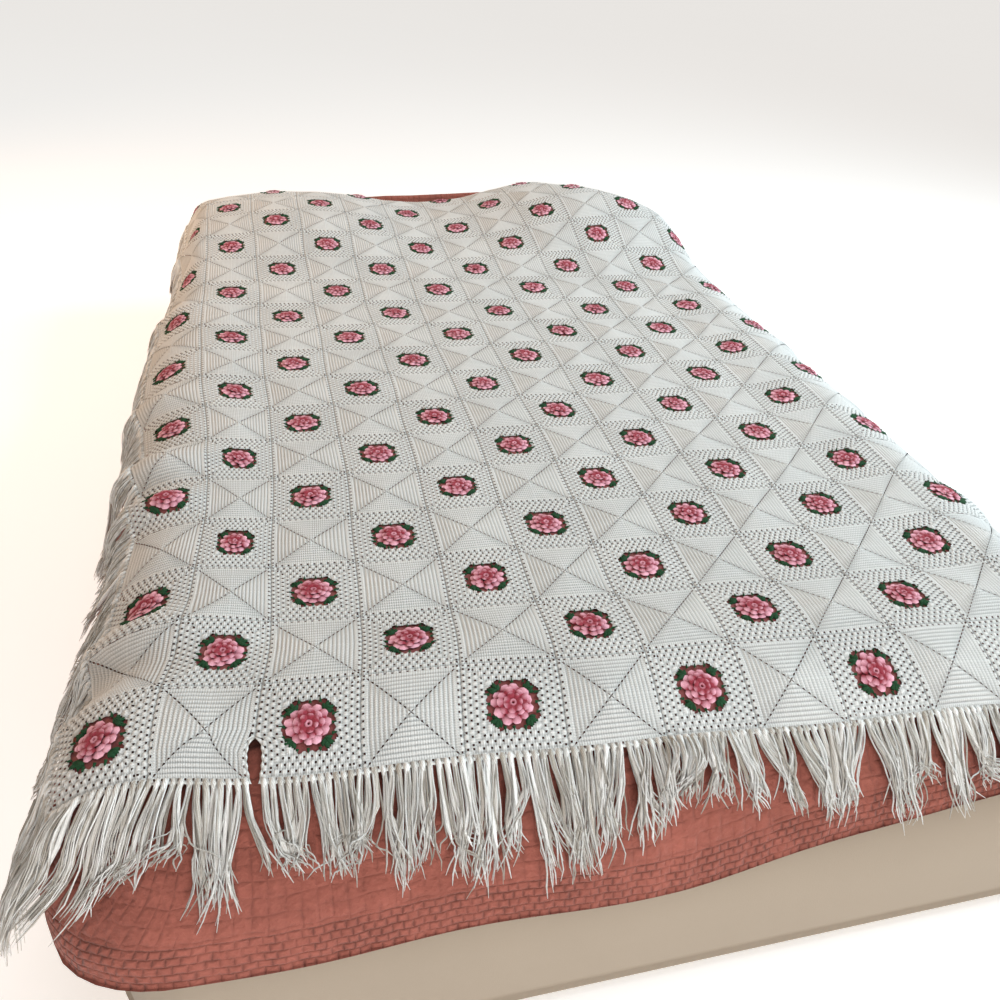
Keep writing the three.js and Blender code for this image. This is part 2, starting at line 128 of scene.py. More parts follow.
# The cloth, counted in squares, and where its middle lies on the bed
COLUMNS = 13
ROWS = 17
CLOTH_MIDDLE = (0.045, 0.028)
# Slant of its rows, and what the foot and its left corner add: slant, drift to the left, raise and tuck
ROW_SLANT = 0.009
FOOT_ROW_SLANT = 0.038
FOOT_SLANT_REACH = 0.400
FOOT_DRIFT = 0.021
FOOT_CORNER_DRIFT = 0.020
FOOT_LIE_REACH = 0.690
FOOT_CORNER_REACH = 0.190
FOOT_CORNER_RAISE = 0.012
FOOT_CORNER_TUCK = 0.036
# Square up from the foot, shift, half width along the edge
LEFT_TUCKS = ((4.4, 0.037, 0.550), (14.6, 0.010, 0.500))
LEFT_TUCK_REACH = 0.275
# Gap below the cloth on the flat and over a round, the ramp between them, height of its slack, how far
# its seams stray, and how far out in the fringe its folds fade
CLEARANCE_FLAT = 0.0005
CLEARANCE_ROUND = 0.0095
CLEARANCE_RAMP = 0.110
RIPPLE = 0.0016
WANDER = 0.0013
FOLD_FADE = 0.112
# Square up from the foot, height, half width, reach in from the edge
LEFT_FOLDS = (
    (0.3, 0.031, 0.150, 0.180),
    (1.0, 0.010, 0.050, 0.190),
    (2.0, 0.018, 0.055, 0.230),
    (4.5, 0.020, 0.050, 0.160),
    (5.5, 0.024, 0.060, 0.180),
    (7.5, 0.014, 0.055, 0.140),
    (11.0, 0.012, 0.070, 0.150),
    (14.0, 0.016, 0.075, 0.160),
)
RIGHT_FOLDS = (
    (1.5, 0.016, 0.060, 0.200),
    (3.5, 0.020, 0.070, 0.220),
    (6.5, 0.014, 0.060, 0.180),
    (9.0, 0.018, 0.065, 0.200),
    (12.0, 0.015, 0.060, 0.180),
    (14.5, 0.022, 0.075, 0.210),
)
# The left side's bedding spreads outwards towards the foot: how far, over how much of the side, between
# which drops below the bed's top, from which share of the half width, and the power of its fade along the
# side
FLARE = 0.055
FLARE_RUN = 1.05
FLARE_DROPS = (0.060, 0.150)
FLARE_EDGE = 0.65
FLARE_FADE = 1.2
# The seam that has come undone at the foot: columns to its left, length, gape, share of the gape at the
# foot edge, and how much it grows up the seam
OPEN_SEAM_COLUMN = 2
OPEN_SEAM_LENGTH = 0.0460
OPEN_SEAM_GAPE = 0.0228
OPEN_SEAM_FOOT = 0.42
OPEN_SEAM_BELLY = 1.30

# The crochet, counted in stitches
TILE_CELLS = 52
CELLS_PER_ROUND = 3
CELLS_PER_CLUSTER = 4
CLUSTERS_PER_SIDE = TILE_CELLS // CELLS_PER_CLUSTER
ROSE_BAND_CELLS = 12
OPENING_CORNER_CELLS = 7
PLAIN_BAND_CELLS = 2
PLAIN_RIBS = 10
CLOTH_BODY = 0.0008
# Rise of the lines of a round from its outer one in, of the line where squares join and of a plain
# square's inner line, and the share that stays between clusters, all as shares of a puff
ROUND_PUFFS = (0.45, 1.0, 0.9)
SEAM_PUFF = 0.22
INNER_PUFF = 0.62
CLUSTER_LOW = 0.30
# In cells: how far points round a hole move out from it, and the scallops' notch and what a cluster adds
# to it
HOLE_SPREAD = 0.12
SCALLOP_NOTCH = 0.25
SCALLOP_CREST = 1.0
# Painted shade along the joins between rows and between columns: what a cluster's swell adds to the tone,
# and how dark it starts
ROW_JOIN_SHADE = (0.60, 0.15)
COLUMN_JOIN_SHADE = (1.10, 0.75)
# A plain square: tone between its ribs and what a rib adds, a painted shade that is darker low between the
# ribs, length of its slits, and half width of its middle hole
RIB_SHADE = (0.08, 0.82)
RIB_SLIT = 0.0016
RIB_HOLE = 0.0006
# Least and most swelling of a square's middle, and how uneven it is
SQUARE_SWELL = (0.0003, 0.0020)
SQUARE_TILT = 0.0005
# Posts across a square in its surface, and how shiny all yarns and cloths are
STITCH_POSTS = 39.0
YARN_SPECULAR = 0.25
# Bands of rows: name, first row and the row after the last
BANDS = (("foot", 0, 4), ("lower", 4, 8), ("upper", 8, 12), ("head", 12, 17))

# Petals of a rose by tier: how many, turn, inner and outer reach and half width as shares of the radius,
# inner and outer height and roll of the rim as shares of the rise, and paleness that the tier adds to its
# petals' painted highlight and shade
TIERS = (
    (11, 0.00, 0.46, 1.00, 0.285, 0.16, 0.42, 0.16, 0.10),
    (9, 0.35, 0.34, 0.76, 0.250, 0.48, 0.76, 0.16, -0.10),
    (7, 0.10, 0.14, 0.48, 0.210, 0.62, 0.94, 0.12, -0.30),
)
# Rings of a rose's middle: reach as a share of the radius, height as a share of the rise, paleness, which is
# painted highlight on the high rings and painted shade on the low ones
HEART_RINGS = (
    (0.035, 0.50, -0.10),
    (0.090, 0.92, 0.50),
    (0.150, 0.96, 0.40),
    (0.230, 0.60, -0.10),
)
HEART_SPOKES = 10
HEART_LUMPS = 0.0003
# Where along a petal it is widest, half length of its ellipse, and how far its rim's corners are cut back
PETAL_WIDEST = 0.62
PETAL_HALF_LENGTH = 0.70
PETAL_CUT = 0.30
# Gap below the petals, swell across one as a share of the rise, and how much petals differ in turn,
# reach, height and width
PETAL_LIFT = 0.0004
PETAL_SWELL = 0.26
PETAL_TURN = 0.07
PETAL_REACH = 0.05
PETAL_RAISE = 0.0005
PETAL_WIDTH = 0.08

# Leaves round a rose: root of a corner's leaves from the middle, each lobe's turn and length, a lobe's
# half width, lift and crest, and how much lobes differ
LEAF_ROOT = 0.0235
LEAF_LOBES = ((-66, 0.0090), (-24, 0.0110), (24, 0.0110), (66, 0.0090))
LEAF_HALF_WIDTH = 0.0031
LEAF_LIFT = 0.0012
LEAF_CREST = 0.0040
LEAF_SPREAD = 0.10
# Green stitches between the leaves: root from the middle, places along a side, least and most length,
# half width, how far they stray, and their height, crest and climb to the tip
SPIKE_ROOT = 0.0245
SPIKE_RUNS = (-0.0115, 0.0, 0.0115)
SPIKE_LENGTHS = (0.0045, 0.0075)
SPIKE_HALF_WIDTH = 0.0021
SPIKE_STRAY = 0.0010
SPIKE_LIFT = 0.0018
SPIKE_CREST = 0.0022
SPIKE_CLIMB = 0.0008
# A dark coral round below a rose, a sheet of painted shade that stands for the quilt in shade below the
# opening: inner and outer reach as shares of the radius, and height as a share of the rise
SHADE_ROUND_REACH = (0.40, 1.45)
SHADE_ROUND_HEIGHT = 0.04
SHADE_ROUND_SPOKES = 20
SHADE_ROUND_LUMPS = 0.0001

# The edging's chain: lift as a share of a puff, thickness as a share of its radius, and tone with painted
# shade between the beads, each between beads and what a bead adds
EDGING_SIDES = 4
EDGING_LIFT = (0.10, 0.20)
EDGING_THICKNESS = (0.60, 0.75)
EDGING_SHADE_TONE = (0.30, 0.6)

# The fringe's clumps: fewest locks and one past the most, mean and spread of the length with its limits,
# least and most share that locks are drawn together, share that are looped, and lean along the edge
CLUMP_LOCKS = (1, 7)
CLUMP_LENGTH = (0.92, 0.13)
CLUMP_LENGTH_LIMITS = (0.60, 1.10)
CLUMP_GATHER = (0.10, 0.85)
CLUMP_LOOPED = 0.35
CLUMP_LEAN = 0.012
# Lean of the slow wave along an edge, and of each edge's whole fringe
WAVE_LEAN = 0.009
EDGE_LEAN = {"foot": 0.0, "left": 0.022, "right": 0.0}
# How far the tips splay past the low and high end of an edge, and along how much of it
SPLAY = {
    "foot": (0.085, 0.260, 0.022, 0.090),
    "left": (0.050, 0.160, 0.022, 0.110),
    "right": (0.022, 0.110, 0.022, 0.110),
}
# A lock: least and most length as shares of its clump's, lean and sway of its own, half width at its knot
# and what it gains by its middle and at its end, how far in its knot starts and how high
LOCK_LENGTH = (0.90, 1.06)
LOCK_LEAN = 0.003
LOCK_SWAY = 0.0065
LOCK_HALF_WIDTHS = (0.0030, 0.0024, 0.0030)
KNOT_INSET = 0.004
KNOT_LIFT = 0.0030
# A looped yarn: how far its end turns aside, how far back and how much longer it is as shares of its
# length, its lift
LOOP_ASIDE = 0.0075
LOOP_BACK = 0.30
LOOP_SLACK = 0.10
LOOP_LIFT = 0.003
# A yarn in the pile: arch below the knot, how far the lowest settles, and how much less the topmost does
YARN_ARCH = 0.0030
YARN_SETTLE = 0.0072
YARN_PILE = 0.0068
# A yarn's own lie: slow and quick waver and their turns, stray at its end, mean and spread of its reach
# with limits
YARN_WAVER = 0.0024
YARN_WAVER_TURNS = (0.5, 1.3)
YARN_KINK = (0.0008, 0.0032)
YARN_KINK_TURNS = (1.6, 2.8)
YARN_STRAY = 0.0075
YARN_REACH = (-0.03, 0.09)
YARN_REACH_LIMITS = (0.66, 1.14)
# A yarn's thickness, how much it thins out by its end, and the share left at its tip
YARN_SIDES = 3
YARN_THICKNESS = (0.8, 1.2)
YARN_THINNING = 0.25
YARN_TIP = 0.35
# The core of a lock: share of its length and radius down it, its reach, thickness and place in the pile
CORE_SIDES = 5
LOCK_CORE = ((0.0, 0.0016), (0.045, 0.0031), (0.12, 0.0024), (0.42, 0.0030), (0.76, 0.0022), (1.0, 0.0004))
CORE_REACH = 0.90
CORE_THICKNESS = (0.85, 1.2)
CORE_PILE = (0.1, 0.6)
# Heaps where fringe lies piled up: place along the foot in squares, half width in squares, rise, share of
# length
HEAPS = ((6.12, 0.62, 0.020, 0.70), (0.15, 0.40, 0.012, 0.80), (10.6, 0.45, 0.008, 0.85))

# Seeds of the random draws
SQUARES_SEED = 11
ROSES_SEED = 23
LEAVES_SEED = 31

# The photograph's camera, from the middle of the bed's flat top
CAMERA_PLACE = (-0.44222, -1.49849, 0.74687)
CAMERA_RIGHT = (0.967736, -0.241150, 0.072996)
CAMERA_DOWN = (-0.078989, -0.565478, -0.820974)
CAMERA_FORWARD = (0.239257, 0.788720, -0.566288)
CAMERA_FOCAL = 0.89215
CAMERA_SHIFT = 0.005
CAMERA_SEES = 120.0
SENSOR = 36.0

# The soft lights: name, place, target, size, watts and colour
LIGHTS = (
    ("window", (2.7, -0.3, 2.3), (0.0, -0.2, 0.33), 1.5, 104.0, (0.80, 0.945, 1.0)),
    ("front", (-0.1, -3.6, 0.75), (-0.1, -1.0, 0.20), 1.3, 46.0, (1.0, 0.98, 0.95)),
    ("lamp", (-2.0, 1.4, 1.7), (-0.3, 0.2, 0.33), 0.8, 25.0, (1.0, 0.58, 0.28)),
)
# Strength of the light from above and its spread in degrees
CEILING_STRENGTH = 0.76
CEILING_SPREAD = 50.0
# The backdrop's light: colour, strength, and the strength that it shows with
BACKDROP_COLOUR = (1.0, 0.86, 0.70, 1.0)
BACKDROP_STRENGTH = 0.20
BACKDROP_SHOWN = 0.80
# The floor: reach, lines of its grid each way, drop below the part, and glow
FLOOR_REACH = 40
FLOOR_LINES = 9
FLOOR_DROP = 0.0005
FLOOR_GLOW = 0.42


class AfghanSizes(bpy.types.PropertyGroup):
    """Sizes of the crochet, its roses, its fringe and the quilt."""

    square: bpy.props.FloatProperty(
        name="Square", description="Side of one crochet square", default=0.110, unit="LENGTH"
    )
    puff: bpy.props.FloatProperty(
        name="Puff", description="Rise of a stitch cluster over its holes", default=0.0030, unit="LENGTH"
    )
    rose_radius: bpy.props.FloatProperty(
        name="Rose radius", description="Reach of the outer petals", default=0.0232, unit="LENGTH"
    )
    rose_rise: bpy.props.FloatProperty(
        name="Rose rise",
        description="Height of the inner petals over the cloth",
        default=0.0070,
        unit="LENGTH",
    )
    fringe_length: bpy.props.FloatProperty(
        name="Fringe length", description="Mean length of a fringe lock", default=0.112, unit="LENGTH"
    )
    yarn_radius: bpy.props.FloatProperty(
        name="Yarn radius", description="Radius of one fringe yarn", default=0.00120, unit="LENGTH"
    )
    edging_radius: bpy.props.FloatProperty(
        name="Edging radius", description="Radius of the edging's chain", default=0.0014, unit="LENGTH"
    )
    quilt_block: bpy.props.FloatProperty(
        name="Quilt block", description="Pitch of the quilt's stitched blocks", default=0.017, unit="LENGTH"
    )


class AfghanColours(bpy.types.PropertyGroup):
    """Colours of the yarns, the quilt, the mattress and the floor."""

    white: bpy.props.FloatVectorProperty(
        name="White", description="Crochet cotton", default=(0.81, 0.815, 0.81), subtype="COLOR"
    )
    yarn_shade: bpy.props.FloatVectorProperty(
        name="Yarn shade",
        description="Darkest of the fringe's yarns",
        default=(0.46, 0.412, 0.352),
        subtype="COLOR",
    )
    # Painted highlight and painted shade: the pink at the petals' rims and crests and in their depths
    petal_painted_highlight: bpy.props.FloatVectorProperty(
        name="Petal rim", description="Rims of the petals", default=(1.0, 0.53, 0.66), subtype="COLOR"
    )
    petal_painted_shade: bpy.props.FloatVectorProperty(
        name="Petal heart",
        description="Depths of the petals",
        default=(0.33, 0.036, 0.060),
        subtype="COLOR",
    )
    # Painted shade: the colour of the round below a rose, the quilt as it looks in shade
    rose_shade_round: bpy.props.FloatVectorProperty(
        name="Rose ground", description="Round below a rose", default=(0.285, 0.077, 0.075), subtype="COLOR"
    )
    leaf: bpy.props.FloatVectorProperty(
        name="Leaf", description="Leaf yarn", default=(0.015, 0.064, 0.026), subtype="COLOR"
    )
    coral: bpy.props.FloatVectorProperty(
        name="Coral", description="Quilt over the bed", default=(0.40, 0.126, 0.094), subtype="COLOR"
    )
    ticking: bpy.props.FloatVectorProperty(
        name="Ticking",
        description="Mattress below the quilt",
        default=(0.37, 0.305, 0.240),
        subtype="COLOR",
    )
    floor: bpy.props.FloatVectorProperty(
        name="Floor", description="Pale studio floor", default=(0.90, 0.90, 0.90), subtype="COLOR"
    )


def smoothstep(value, low, high):
    """Rises from 0 at low to 1 at high along three t squared less two t cubed."""
    t = np.clip((value - low) / (high - low), 0, 1)
    return t * t * (3 - 2 * t)


def bump(value, half_width):
    """A hump of height 1: the squared cosine over a quarter turn, out to half_width on each side."""
    return np.cos(np.clip(value / half_width, -1, 1) * np.pi / 2) ** 2


def unit(vectors):
    """Vectors scaled to length one along the last axis."""
    return vectors / np.maximum(np.linalg.norm(vectors, axis=-1, keepdims=True), 1e-9)


def over_edge(along, half, low_round, high_round):
    """Carries a length over a bed's two rounded edges: place runs flat, then along a quarter circle, then
    stays; drop grows along the quarter circle and then straight down."""
    past = np.maximum(along - (half - high_round), 0)
    before = np.maximum(low_round - half - along, 0)
    high_turn = np.minimum(past / high_round, np.pi / 2)
    low_turn = np.minimum(before / low_round, np.pi / 2)
    flat = np.clip(along, low_round - half, half - high_round)
    place = flat + high_round * np.sin(high_turn) - low_round * np.sin(low_turn)
    drop = high_round * (1 - np.cos(high_turn)) + low_round * (1 - np.cos(low_turn))
    drop = drop + np.maximum(past - high_round * np.pi / 2, 0)
    drop = drop + np.maximum(before - low_round * np.pi / 2, 0)
    return place, drop


def pillow_rise(x, y):
    """Height of the pillows under the quilt: a squared cosine across each, eased in towards the head,
    less a share of it behind a crest that slants towards the foot on the right."""
    fall = smoothstep(y + PILLOW_FALL_SLANT * np.maximum(x - PILLOW_FALL_PLACE, 0), *PILLOW_FALL)
    fall = fall * smoothstep(x, *PILLOW_FALL_ACROSS)
    rise = 0
    for middle, reach, height, lost in PILLOWS:
        rise = rise + height * bump(x - middle, reach) * (1 - lost * fall)
    return rise * smoothstep(y, PILLOW_FOOT, PILLOW_CREST)


def bed_point(across, along):
    """Point of the bed's surface at two lengths from its middle, carried over its rounded edges."""
    x, side_drop = over_edge(across, HALF_WIDTH, SIDE_ROUND, SIDE_ROUND)
    y, end_drop = over_edge(along, HALF_LENGTH, FOOT_ROUND, HEAD_ROUND)
    return np.stack([x, y, BED_TOP + pillow_rise(x, y) - side_drop - end_drop], axis=-1)


def bed_normal(across, along):
    """Unit normal of the bed's surface, from differences of a millimetre each way."""
    step = 0.001
    run = bed_point(across + step, along) - bed_point(across - step, along)
    rise = bed_point(across, along + step) - bed_point(across, along - step)
    return unit(np.cross(run, rise))


def fold_rise(folds, inset, v, square):
    """Height of the tented folds along one side: humps along the edge that fade inwards and out in the
    fringe."""
    from_foot = v + ROWS * square / 2
    rise = 0
    for place, height, half_width, reach in folds:
        along = height * bump(from_foot - place * square, half_width)
        rise = rise + along * (1 - smoothstep(inset, 0, reach))
    return rise * smoothstep(inset, -FOLD_FADE, 0)


def side_folds(u, v, square):
    """Height of the folds along both sides of the cloth."""
    half_cloth = COLUMNS * square / 2
    left = fold_rise(LEFT_FOLDS, u + half_cloth, v, square)
    return left + fold_rise(RIGHT_FOLDS, half_cloth - u, v, square)


def lie(u, v, square):
    """Lengths across and along the bed of a point of the cloth: shifted, slanted, drifting to the left at
    the foot, tucked in along part of the left edge and raised a little at the left foot corner."""
    half_cloth = COLUMNS * square / 2
    foot_edge = -ROWS * square / 2
    foot = 1 - smoothstep(v, foot_edge, foot_edge + FOOT_LIE_REACH)
    foot_row = 1 - smoothstep(v, foot_edge, foot_edge + FOOT_CORNER_REACH)
    corner = foot_row * (1 - smoothstep(u, -half_cloth / 2, half_cloth / 3))
    left_edge = 1 - smoothstep(u + half_cloth, 0, LEFT_TUCK_REACH)
    tuck = sum(shift * bump(v - foot_edge - place * square, width) for place, shift, width in LEFT_TUCKS)
    across = CLOTH_MIDDLE[0] + u - FOOT_DRIFT * foot - FOOT_CORNER_DRIFT * corner + tuck * left_edge
    across = across + FOOT_CORNER_TUCK * foot_row * left_edge**2
    along = CLOTH_MIDDLE[1] + v - u * ROW_SLANT - np.minimum(u, FOOT_SLANT_REACH) * FOOT_ROW_SLANT * foot
    return across, along + FOOT_CORNER_RAISE * foot_row * left_edge


def cloth_place(across, along, square):
    """Place on the cloth over a point of the bed: lie undone, by adding what is still missing a few
    times."""
    u = across - CLOTH_MIDDLE[0]
    v = along - CLOTH_MIDDLE[1]
    rounds = 6
    for _ in range(rounds):
        reached_across, reached_along = lie(u, v, square)
        u = u + across - reached_across
        v = v + along - reached_along
    return u, v


def clearance(across, along):
    """Gap under the cloth: small on the flat of the bed and wider where it turns over an edge or a
    pillow."""
    side = HALF_WIDTH - SIDE_ROUND
    foot = HALF_LENGTH - FOOT_ROUND
    turned = np.maximum(
        smoothstep(np.abs(across), side - CLEARANCE_RAMP, side),
        np.maximum(
            smoothstep(-along, foot - CLEARANCE_RAMP, foot),
            smoothstep(along, PILLOW_FOOT - CLEARANCE_RAMP, PILLOW_FOOT),
        ),
    )
    return CLEARANCE_FLAT + (CLEARANCE_ROUND - CLEARANCE_FLAT) * turned


def ripple(u, v):
    """Slack of the cloth: low waves that cross each other, never below the bed."""
    broad = np.sin(9.0 * u + 3.0 * v + 0.5) * np.sin(6.5 * v - 2.0 * u + 1.0)
    narrow = np.sin(23.0 * u - 7.0 * v) * np.sin(17.0 * v + 5.0 * u + 2.0)
    return RIPPLE * (1 + 0.6 * broad + 0.4 * narrow)


def wander(u, v, square):
    """Uneven work: the squares' seams stray to the sides by slow waves."""
    turn = 2 * np.pi / square
    stray_u = np.sin(turn * (0.31 * u + 0.17 * v)) + 0.7 * np.sin(turn * (0.13 * u - 0.43 * v) + 1.0)
    stray_v = np.sin(turn * (0.37 * u - 0.11 * v) + 2.0) + 0.7 * np.sin(turn * (0.19 * u + 0.29 * v))
    return u + WANDER * stray_u, v + WANDER * stray_v


def drawn_in(points):
    """How far right the bed's left side is drawn in near the head at points of the bed, and with a minus
    sign how far left its right side."""
    x, y = points[..., 0], points[..., 1]
    left, right = (far * smoothstep(y, low, high) for far, low, high in (LEFT_DRAW, RIGHT_DRAW))
    return smoothstep(np.abs(x), DRAW_EDGE * HALF_WIDTH, HALF_WIDTH) * np.where(x < 0, left, -right)


def flare(points):
    """How far left the bedding spreads at points of the bed: more with the drop below its top and near
    the foot, and only along its left side."""
    drop = smoothstep(BED_TOP - points[..., 2], *FLARE_DROPS)
    from_foot = np.clip((points[..., 1] + HALF_LENGTH) / FLARE_RUN, 0, 1)
    beside = smoothstep(-points[..., 0], FLARE_EDGE * HALF_WIDTH, HALF_WIDTH)
    return FLARE * (1 - from_foot) ** FLARE_FADE * drop * beside


def drape(u, v, lift, square):
    """Point of the cloth in the part's frame: the bed's point, plus its normal times gap, folds, slack
    and lift, drawn in and spread to the left with the bedding."""
    u, v = wander(u, v, square)
    across, along = lie(u, v, square)
    height = clearance(across, along) + ripple(u, v) + lift
    height = height + side_folds(u, v, square)
    points = bed_point(across, along) + bed_normal(across, along) * height[..., None]
    points[..., 0] += drawn_in(points) - flare(points)
    return points + BED_MIDDLE


def seam_gape(v, square):
    """Half the width of the undone seam at a height up the cloth: a lens, which is the square root of the
    share of its length left above, times a line that grows with height."""
    height = np.clip((v + ROWS * square / 2) / OPEN_SEAM_LENGTH, 0, 1)
    return OPEN_SEAM_GAPE / 2 * np.sqrt(1 - height) * (OPEN_SEAM_FOOT + OPEN_SEAM_BELLY * height)


def open_seam(square):
    """Place of the undone seam across the cloth."""
    return (OPEN_SEAM_COLUMN - COLUMNS / 2) * square


def part_seam(u, v, side, square):
    """Opens the seam at the foot: points move away from it by half the gape at their height, and less
    with their distance from it."""
    near = np.clip(1 - np.abs(u - open_seam(square)) / square, 0, 1)
    return u + side * seam_gape(v, square) * near


def square_centres(kind, first_row, last_row, square):
    """Middles of the rose squares (kind 0) or plain squares (kind 1) of some rows, in a chequer from the
    corner."""
    rows, columns = np.mgrid[first_row:last_row, 0:COLUMNS]
    chosen = (rows + columns) % 2 == kind
    u = (columns[chosen] + 0.5 - COLUMNS / 2) * square
    v = (rows[chosen] + 0.5 - ROWS / 2) * square
    return u, v


class Wire:
    """A shader socket whose arithmetic adds Math nodes, with a method that adds any other node."""

    def __init__(self, tree, socket=None):
        self.tree = tree
        self.socket = socket

    def node(self, kind, settings=None, inputs=None, output=0):
        """Adds a node, sets its settings, then its sockets' values or links, and wraps one of its
        outputs."""
        made = self.tree.nodes.new(kind)
        for key, value in (settings or {}).items():
            setattr(made, key, value)
        for key, value in (inputs or {}).items():
            if isinstance(value, Wire):
                self.tree.links.new(value.socket, made.inputs[key])
            else:
                made.inputs[key].default_value = value
        return Wire(self.tree, made.outputs[output])

    def math(self, operation, *values, clamp=False):
        """Adds one Math node on these values."""
        settings = {"operation": operation, "use_clamp": clamp}
        return self.node("ShaderNodeMath", settings, dict(enumerate(values)))

    def mix(self, factor, first, second):
        """Adds a colour Mix of two colours by a factor."""
        inputs = {0: factor, 6: first, 7: second}
        return self.node("ShaderNodeMix", {"data_type": "RGBA"}, inputs, output=2)

    def __add__(self, other):
        return self.math("ADD", self, other)

    def __radd__(self, other):
        return self.math("ADD", other, self)

    def __sub__(self, other):
        return self.math("SUBTRACT", self, other)

    def __rsub__(self, other):
        return self.math("SUBTRACT", other, self)

    def __mul__(self, other):
        return self.math("MULTIPLY", self, other)

    def __rmul__(self, other):
        return self.math("MULTIPLY", other, self)


def new_finish(name, roughness, sheen):
    """A material with its shader's constant sockets set, and a Wire to build the rest from."""
    material = bpy.data.materials.new(name)
    material.use_nodes = True
    tree = material.node_tree
    shader = tree.nodes["Principled BSDF"]
    shader.inputs["Roughness"].default_value = roughness
    shader.inputs["Sheen Weight"].default_value = sheen
    shader.inputs["Specular IOR Level"].default_value = YARN_SPECULAR
    return material, shader, Wire(tree)


def opaque(colour, tone=1.0):
    """A colour with a fourth number, scaled by a tone."""
    return (*(channel * tone for channel in colour), 1.0)


def feed(wire, source, target):
    """Links a wrapped socket to a shader's socket."""
    wire.tree.links.new(source.socket, target)


def noise(wire, place, scale, detail=2.0):
    """A noise of some fineness, as values."""
    return wire.node("ShaderNodeTexNoise", inputs={"Vector": place, "Scale": scale, "Detail": detail})


def attribute(wire, name):
    """One of the piece's own point values."""
    return wire.node("ShaderNodeAttribute", {"attribute_name": name}, output="Fac")


def split_map(wire, name):
    """The two coordinates of one of the piece's own maps."""
    layout = wire.node("ShaderNodeUVMap", {"uv_map": name})
    first = wire.node("ShaderNodeSeparateXYZ", inputs={0: layout}, output=0)
    second = wire.node("ShaderNodeSeparateXYZ", inputs={0: layout}, output=1)
    return first, second


def raise_surface(wire, shader, height, strength, distance):
    """Feeds a height to the shader's normal through a Bump node."""
    inputs = {"Strength": strength, "Distance": distance, "Height": height}
    feed(wire, wire.node("ShaderNodeBump", inputs=inputs), shader.inputs["Normal"])


def crochet_finish(colours):
    """White cotton: painted shade darkens it between the clusters, between the ribs and along the joins,
    with rows of posts and a fuzz of fibres raised on it.
    """
    material, shader, wire = new_finish("white_cotton_crochet", 0.92, 0.12)
    place = wire.node("ShaderNodeTexCoord", output="Object")
    across, out = split_map(wire, "stitch")
    height = attribute(wire, "puff")
    fibre = noise(wire, place, 950.0)
    patch = noise(wire, place, 9.0)
    posts = wire.math("SINE", across * (2 * np.pi * STITCH_POSTS))
    rows = wire.math("SINE", out * (2 * np.pi * STITCH_POSTS))
    # Painted shade: the tone read as puff is low in the valleys and along the joins, and darkens the white
    # there
    tone = height * 0.80 + patch * 0.30 + posts * 0.08
    colour = wire.mix(tone, opaque(colours.white, 0.40), opaque(colours.white, 1.12))
    feed(wire, colour, shader.inputs["Base Color"])
    raise_surface(wire, shader, posts * 0.55 + posts * rows * 0.3 + fibre * 0.9, 0.5, 0.0009)
    return material


def rose_finish(colours):
    """Pink yarn: painted shade deep in the folds and at the petals' sides, and painted highlight pale on the
    rims and crests, each petal a little different, with fine fibres, over a coral round of painted shade."""
    material, shader, wire = new_finish("rose_pink_yarn", 0.85, 0.2)
    place = wire.node("ShaderNodeTexCoord", output="Object")
    fibre = noise(wire, place, 800.0)
    # Painted highlight and shade: the rim value is pale at the rims and crests and dark in the folds and at
    # the petals' sides
    tone = attribute(wire, "rim") * 1.12 + attribute(wire, "cast") * 0.40 + fibre * 0.35
    paleness = wire.math("SUBTRACT", tone, 0.40, clamp=True)
    petal = wire.mix(paleness, opaque(colours.petal_painted_shade), opaque(colours.petal_painted_highlight))
    # Painted shade: the round below the rose takes the dark coral
    colour = wire.mix(attribute(wire, "shade_round"), petal, opaque(colours.rose_shade_round))
    feed(wire, colour, shader.inputs["Base Color"])
    raise_surface(wire, shader, fibre, 0.6, 0.0012)
    return material


def leaf_finish(colours):
    """Dark green yarn with lighter fibres."""
    material, shader, wire = new_finish("leaf_green_yarn", 0.88, 0.05)
    place = wire.node("ShaderNodeTexCoord", output="Object")
    fibre = noise(wire, place, 700.0)
    colour = wire.mix(fibre, opaque(colours.leaf, 0.4), opaque(colours.leaf, 1.8))
    feed(wire, colour, shader.inputs["Base Color"])
    raise_surface(wire, shader, fibre, 0.7, 0.0012)
    return material


def fringe_finish(colours):
    """White cotton yarn: each strand has its own tone and a twist that runs round it."""
    material, shader, wire = new_finish("fringe_cotton_yarn", 0.9, 0.12)
    place = wire.node("ShaderNodeTexCoord", output="Object")
    round_it, down_it = split_map(wire, "strand")
    fibre = noise(wire, place, 900.0)
    twist = wire.math("SINE", round_it * (8 * np.pi) + down_it * 40.0)
    tone = attribute(wire, "cast") * 1.10 + fibre * 0.36 + twist * 0.14 - 0.12
    colour = wire.mix(tone, opaque(colours.yarn_shade), opaque(colours.white, 1.23))
    feed(wire, colour, shader.inputs["Base Color"])
    raise_surface(wire, shader, twist * 0.6 + fibre, 0.6, 0.0009)
    return material


def stitched(wire, place, turns, waver, sharpness):
    """Stitching across a place on the quilt: 1 on each line and falling to 0 beside it, faster if
    sharper."""
    beside = wire.math("ABSOLUTE", wire.math("SINE", place * turns + waver))
    return wire.math("POWER", 1 - beside, sharpness)


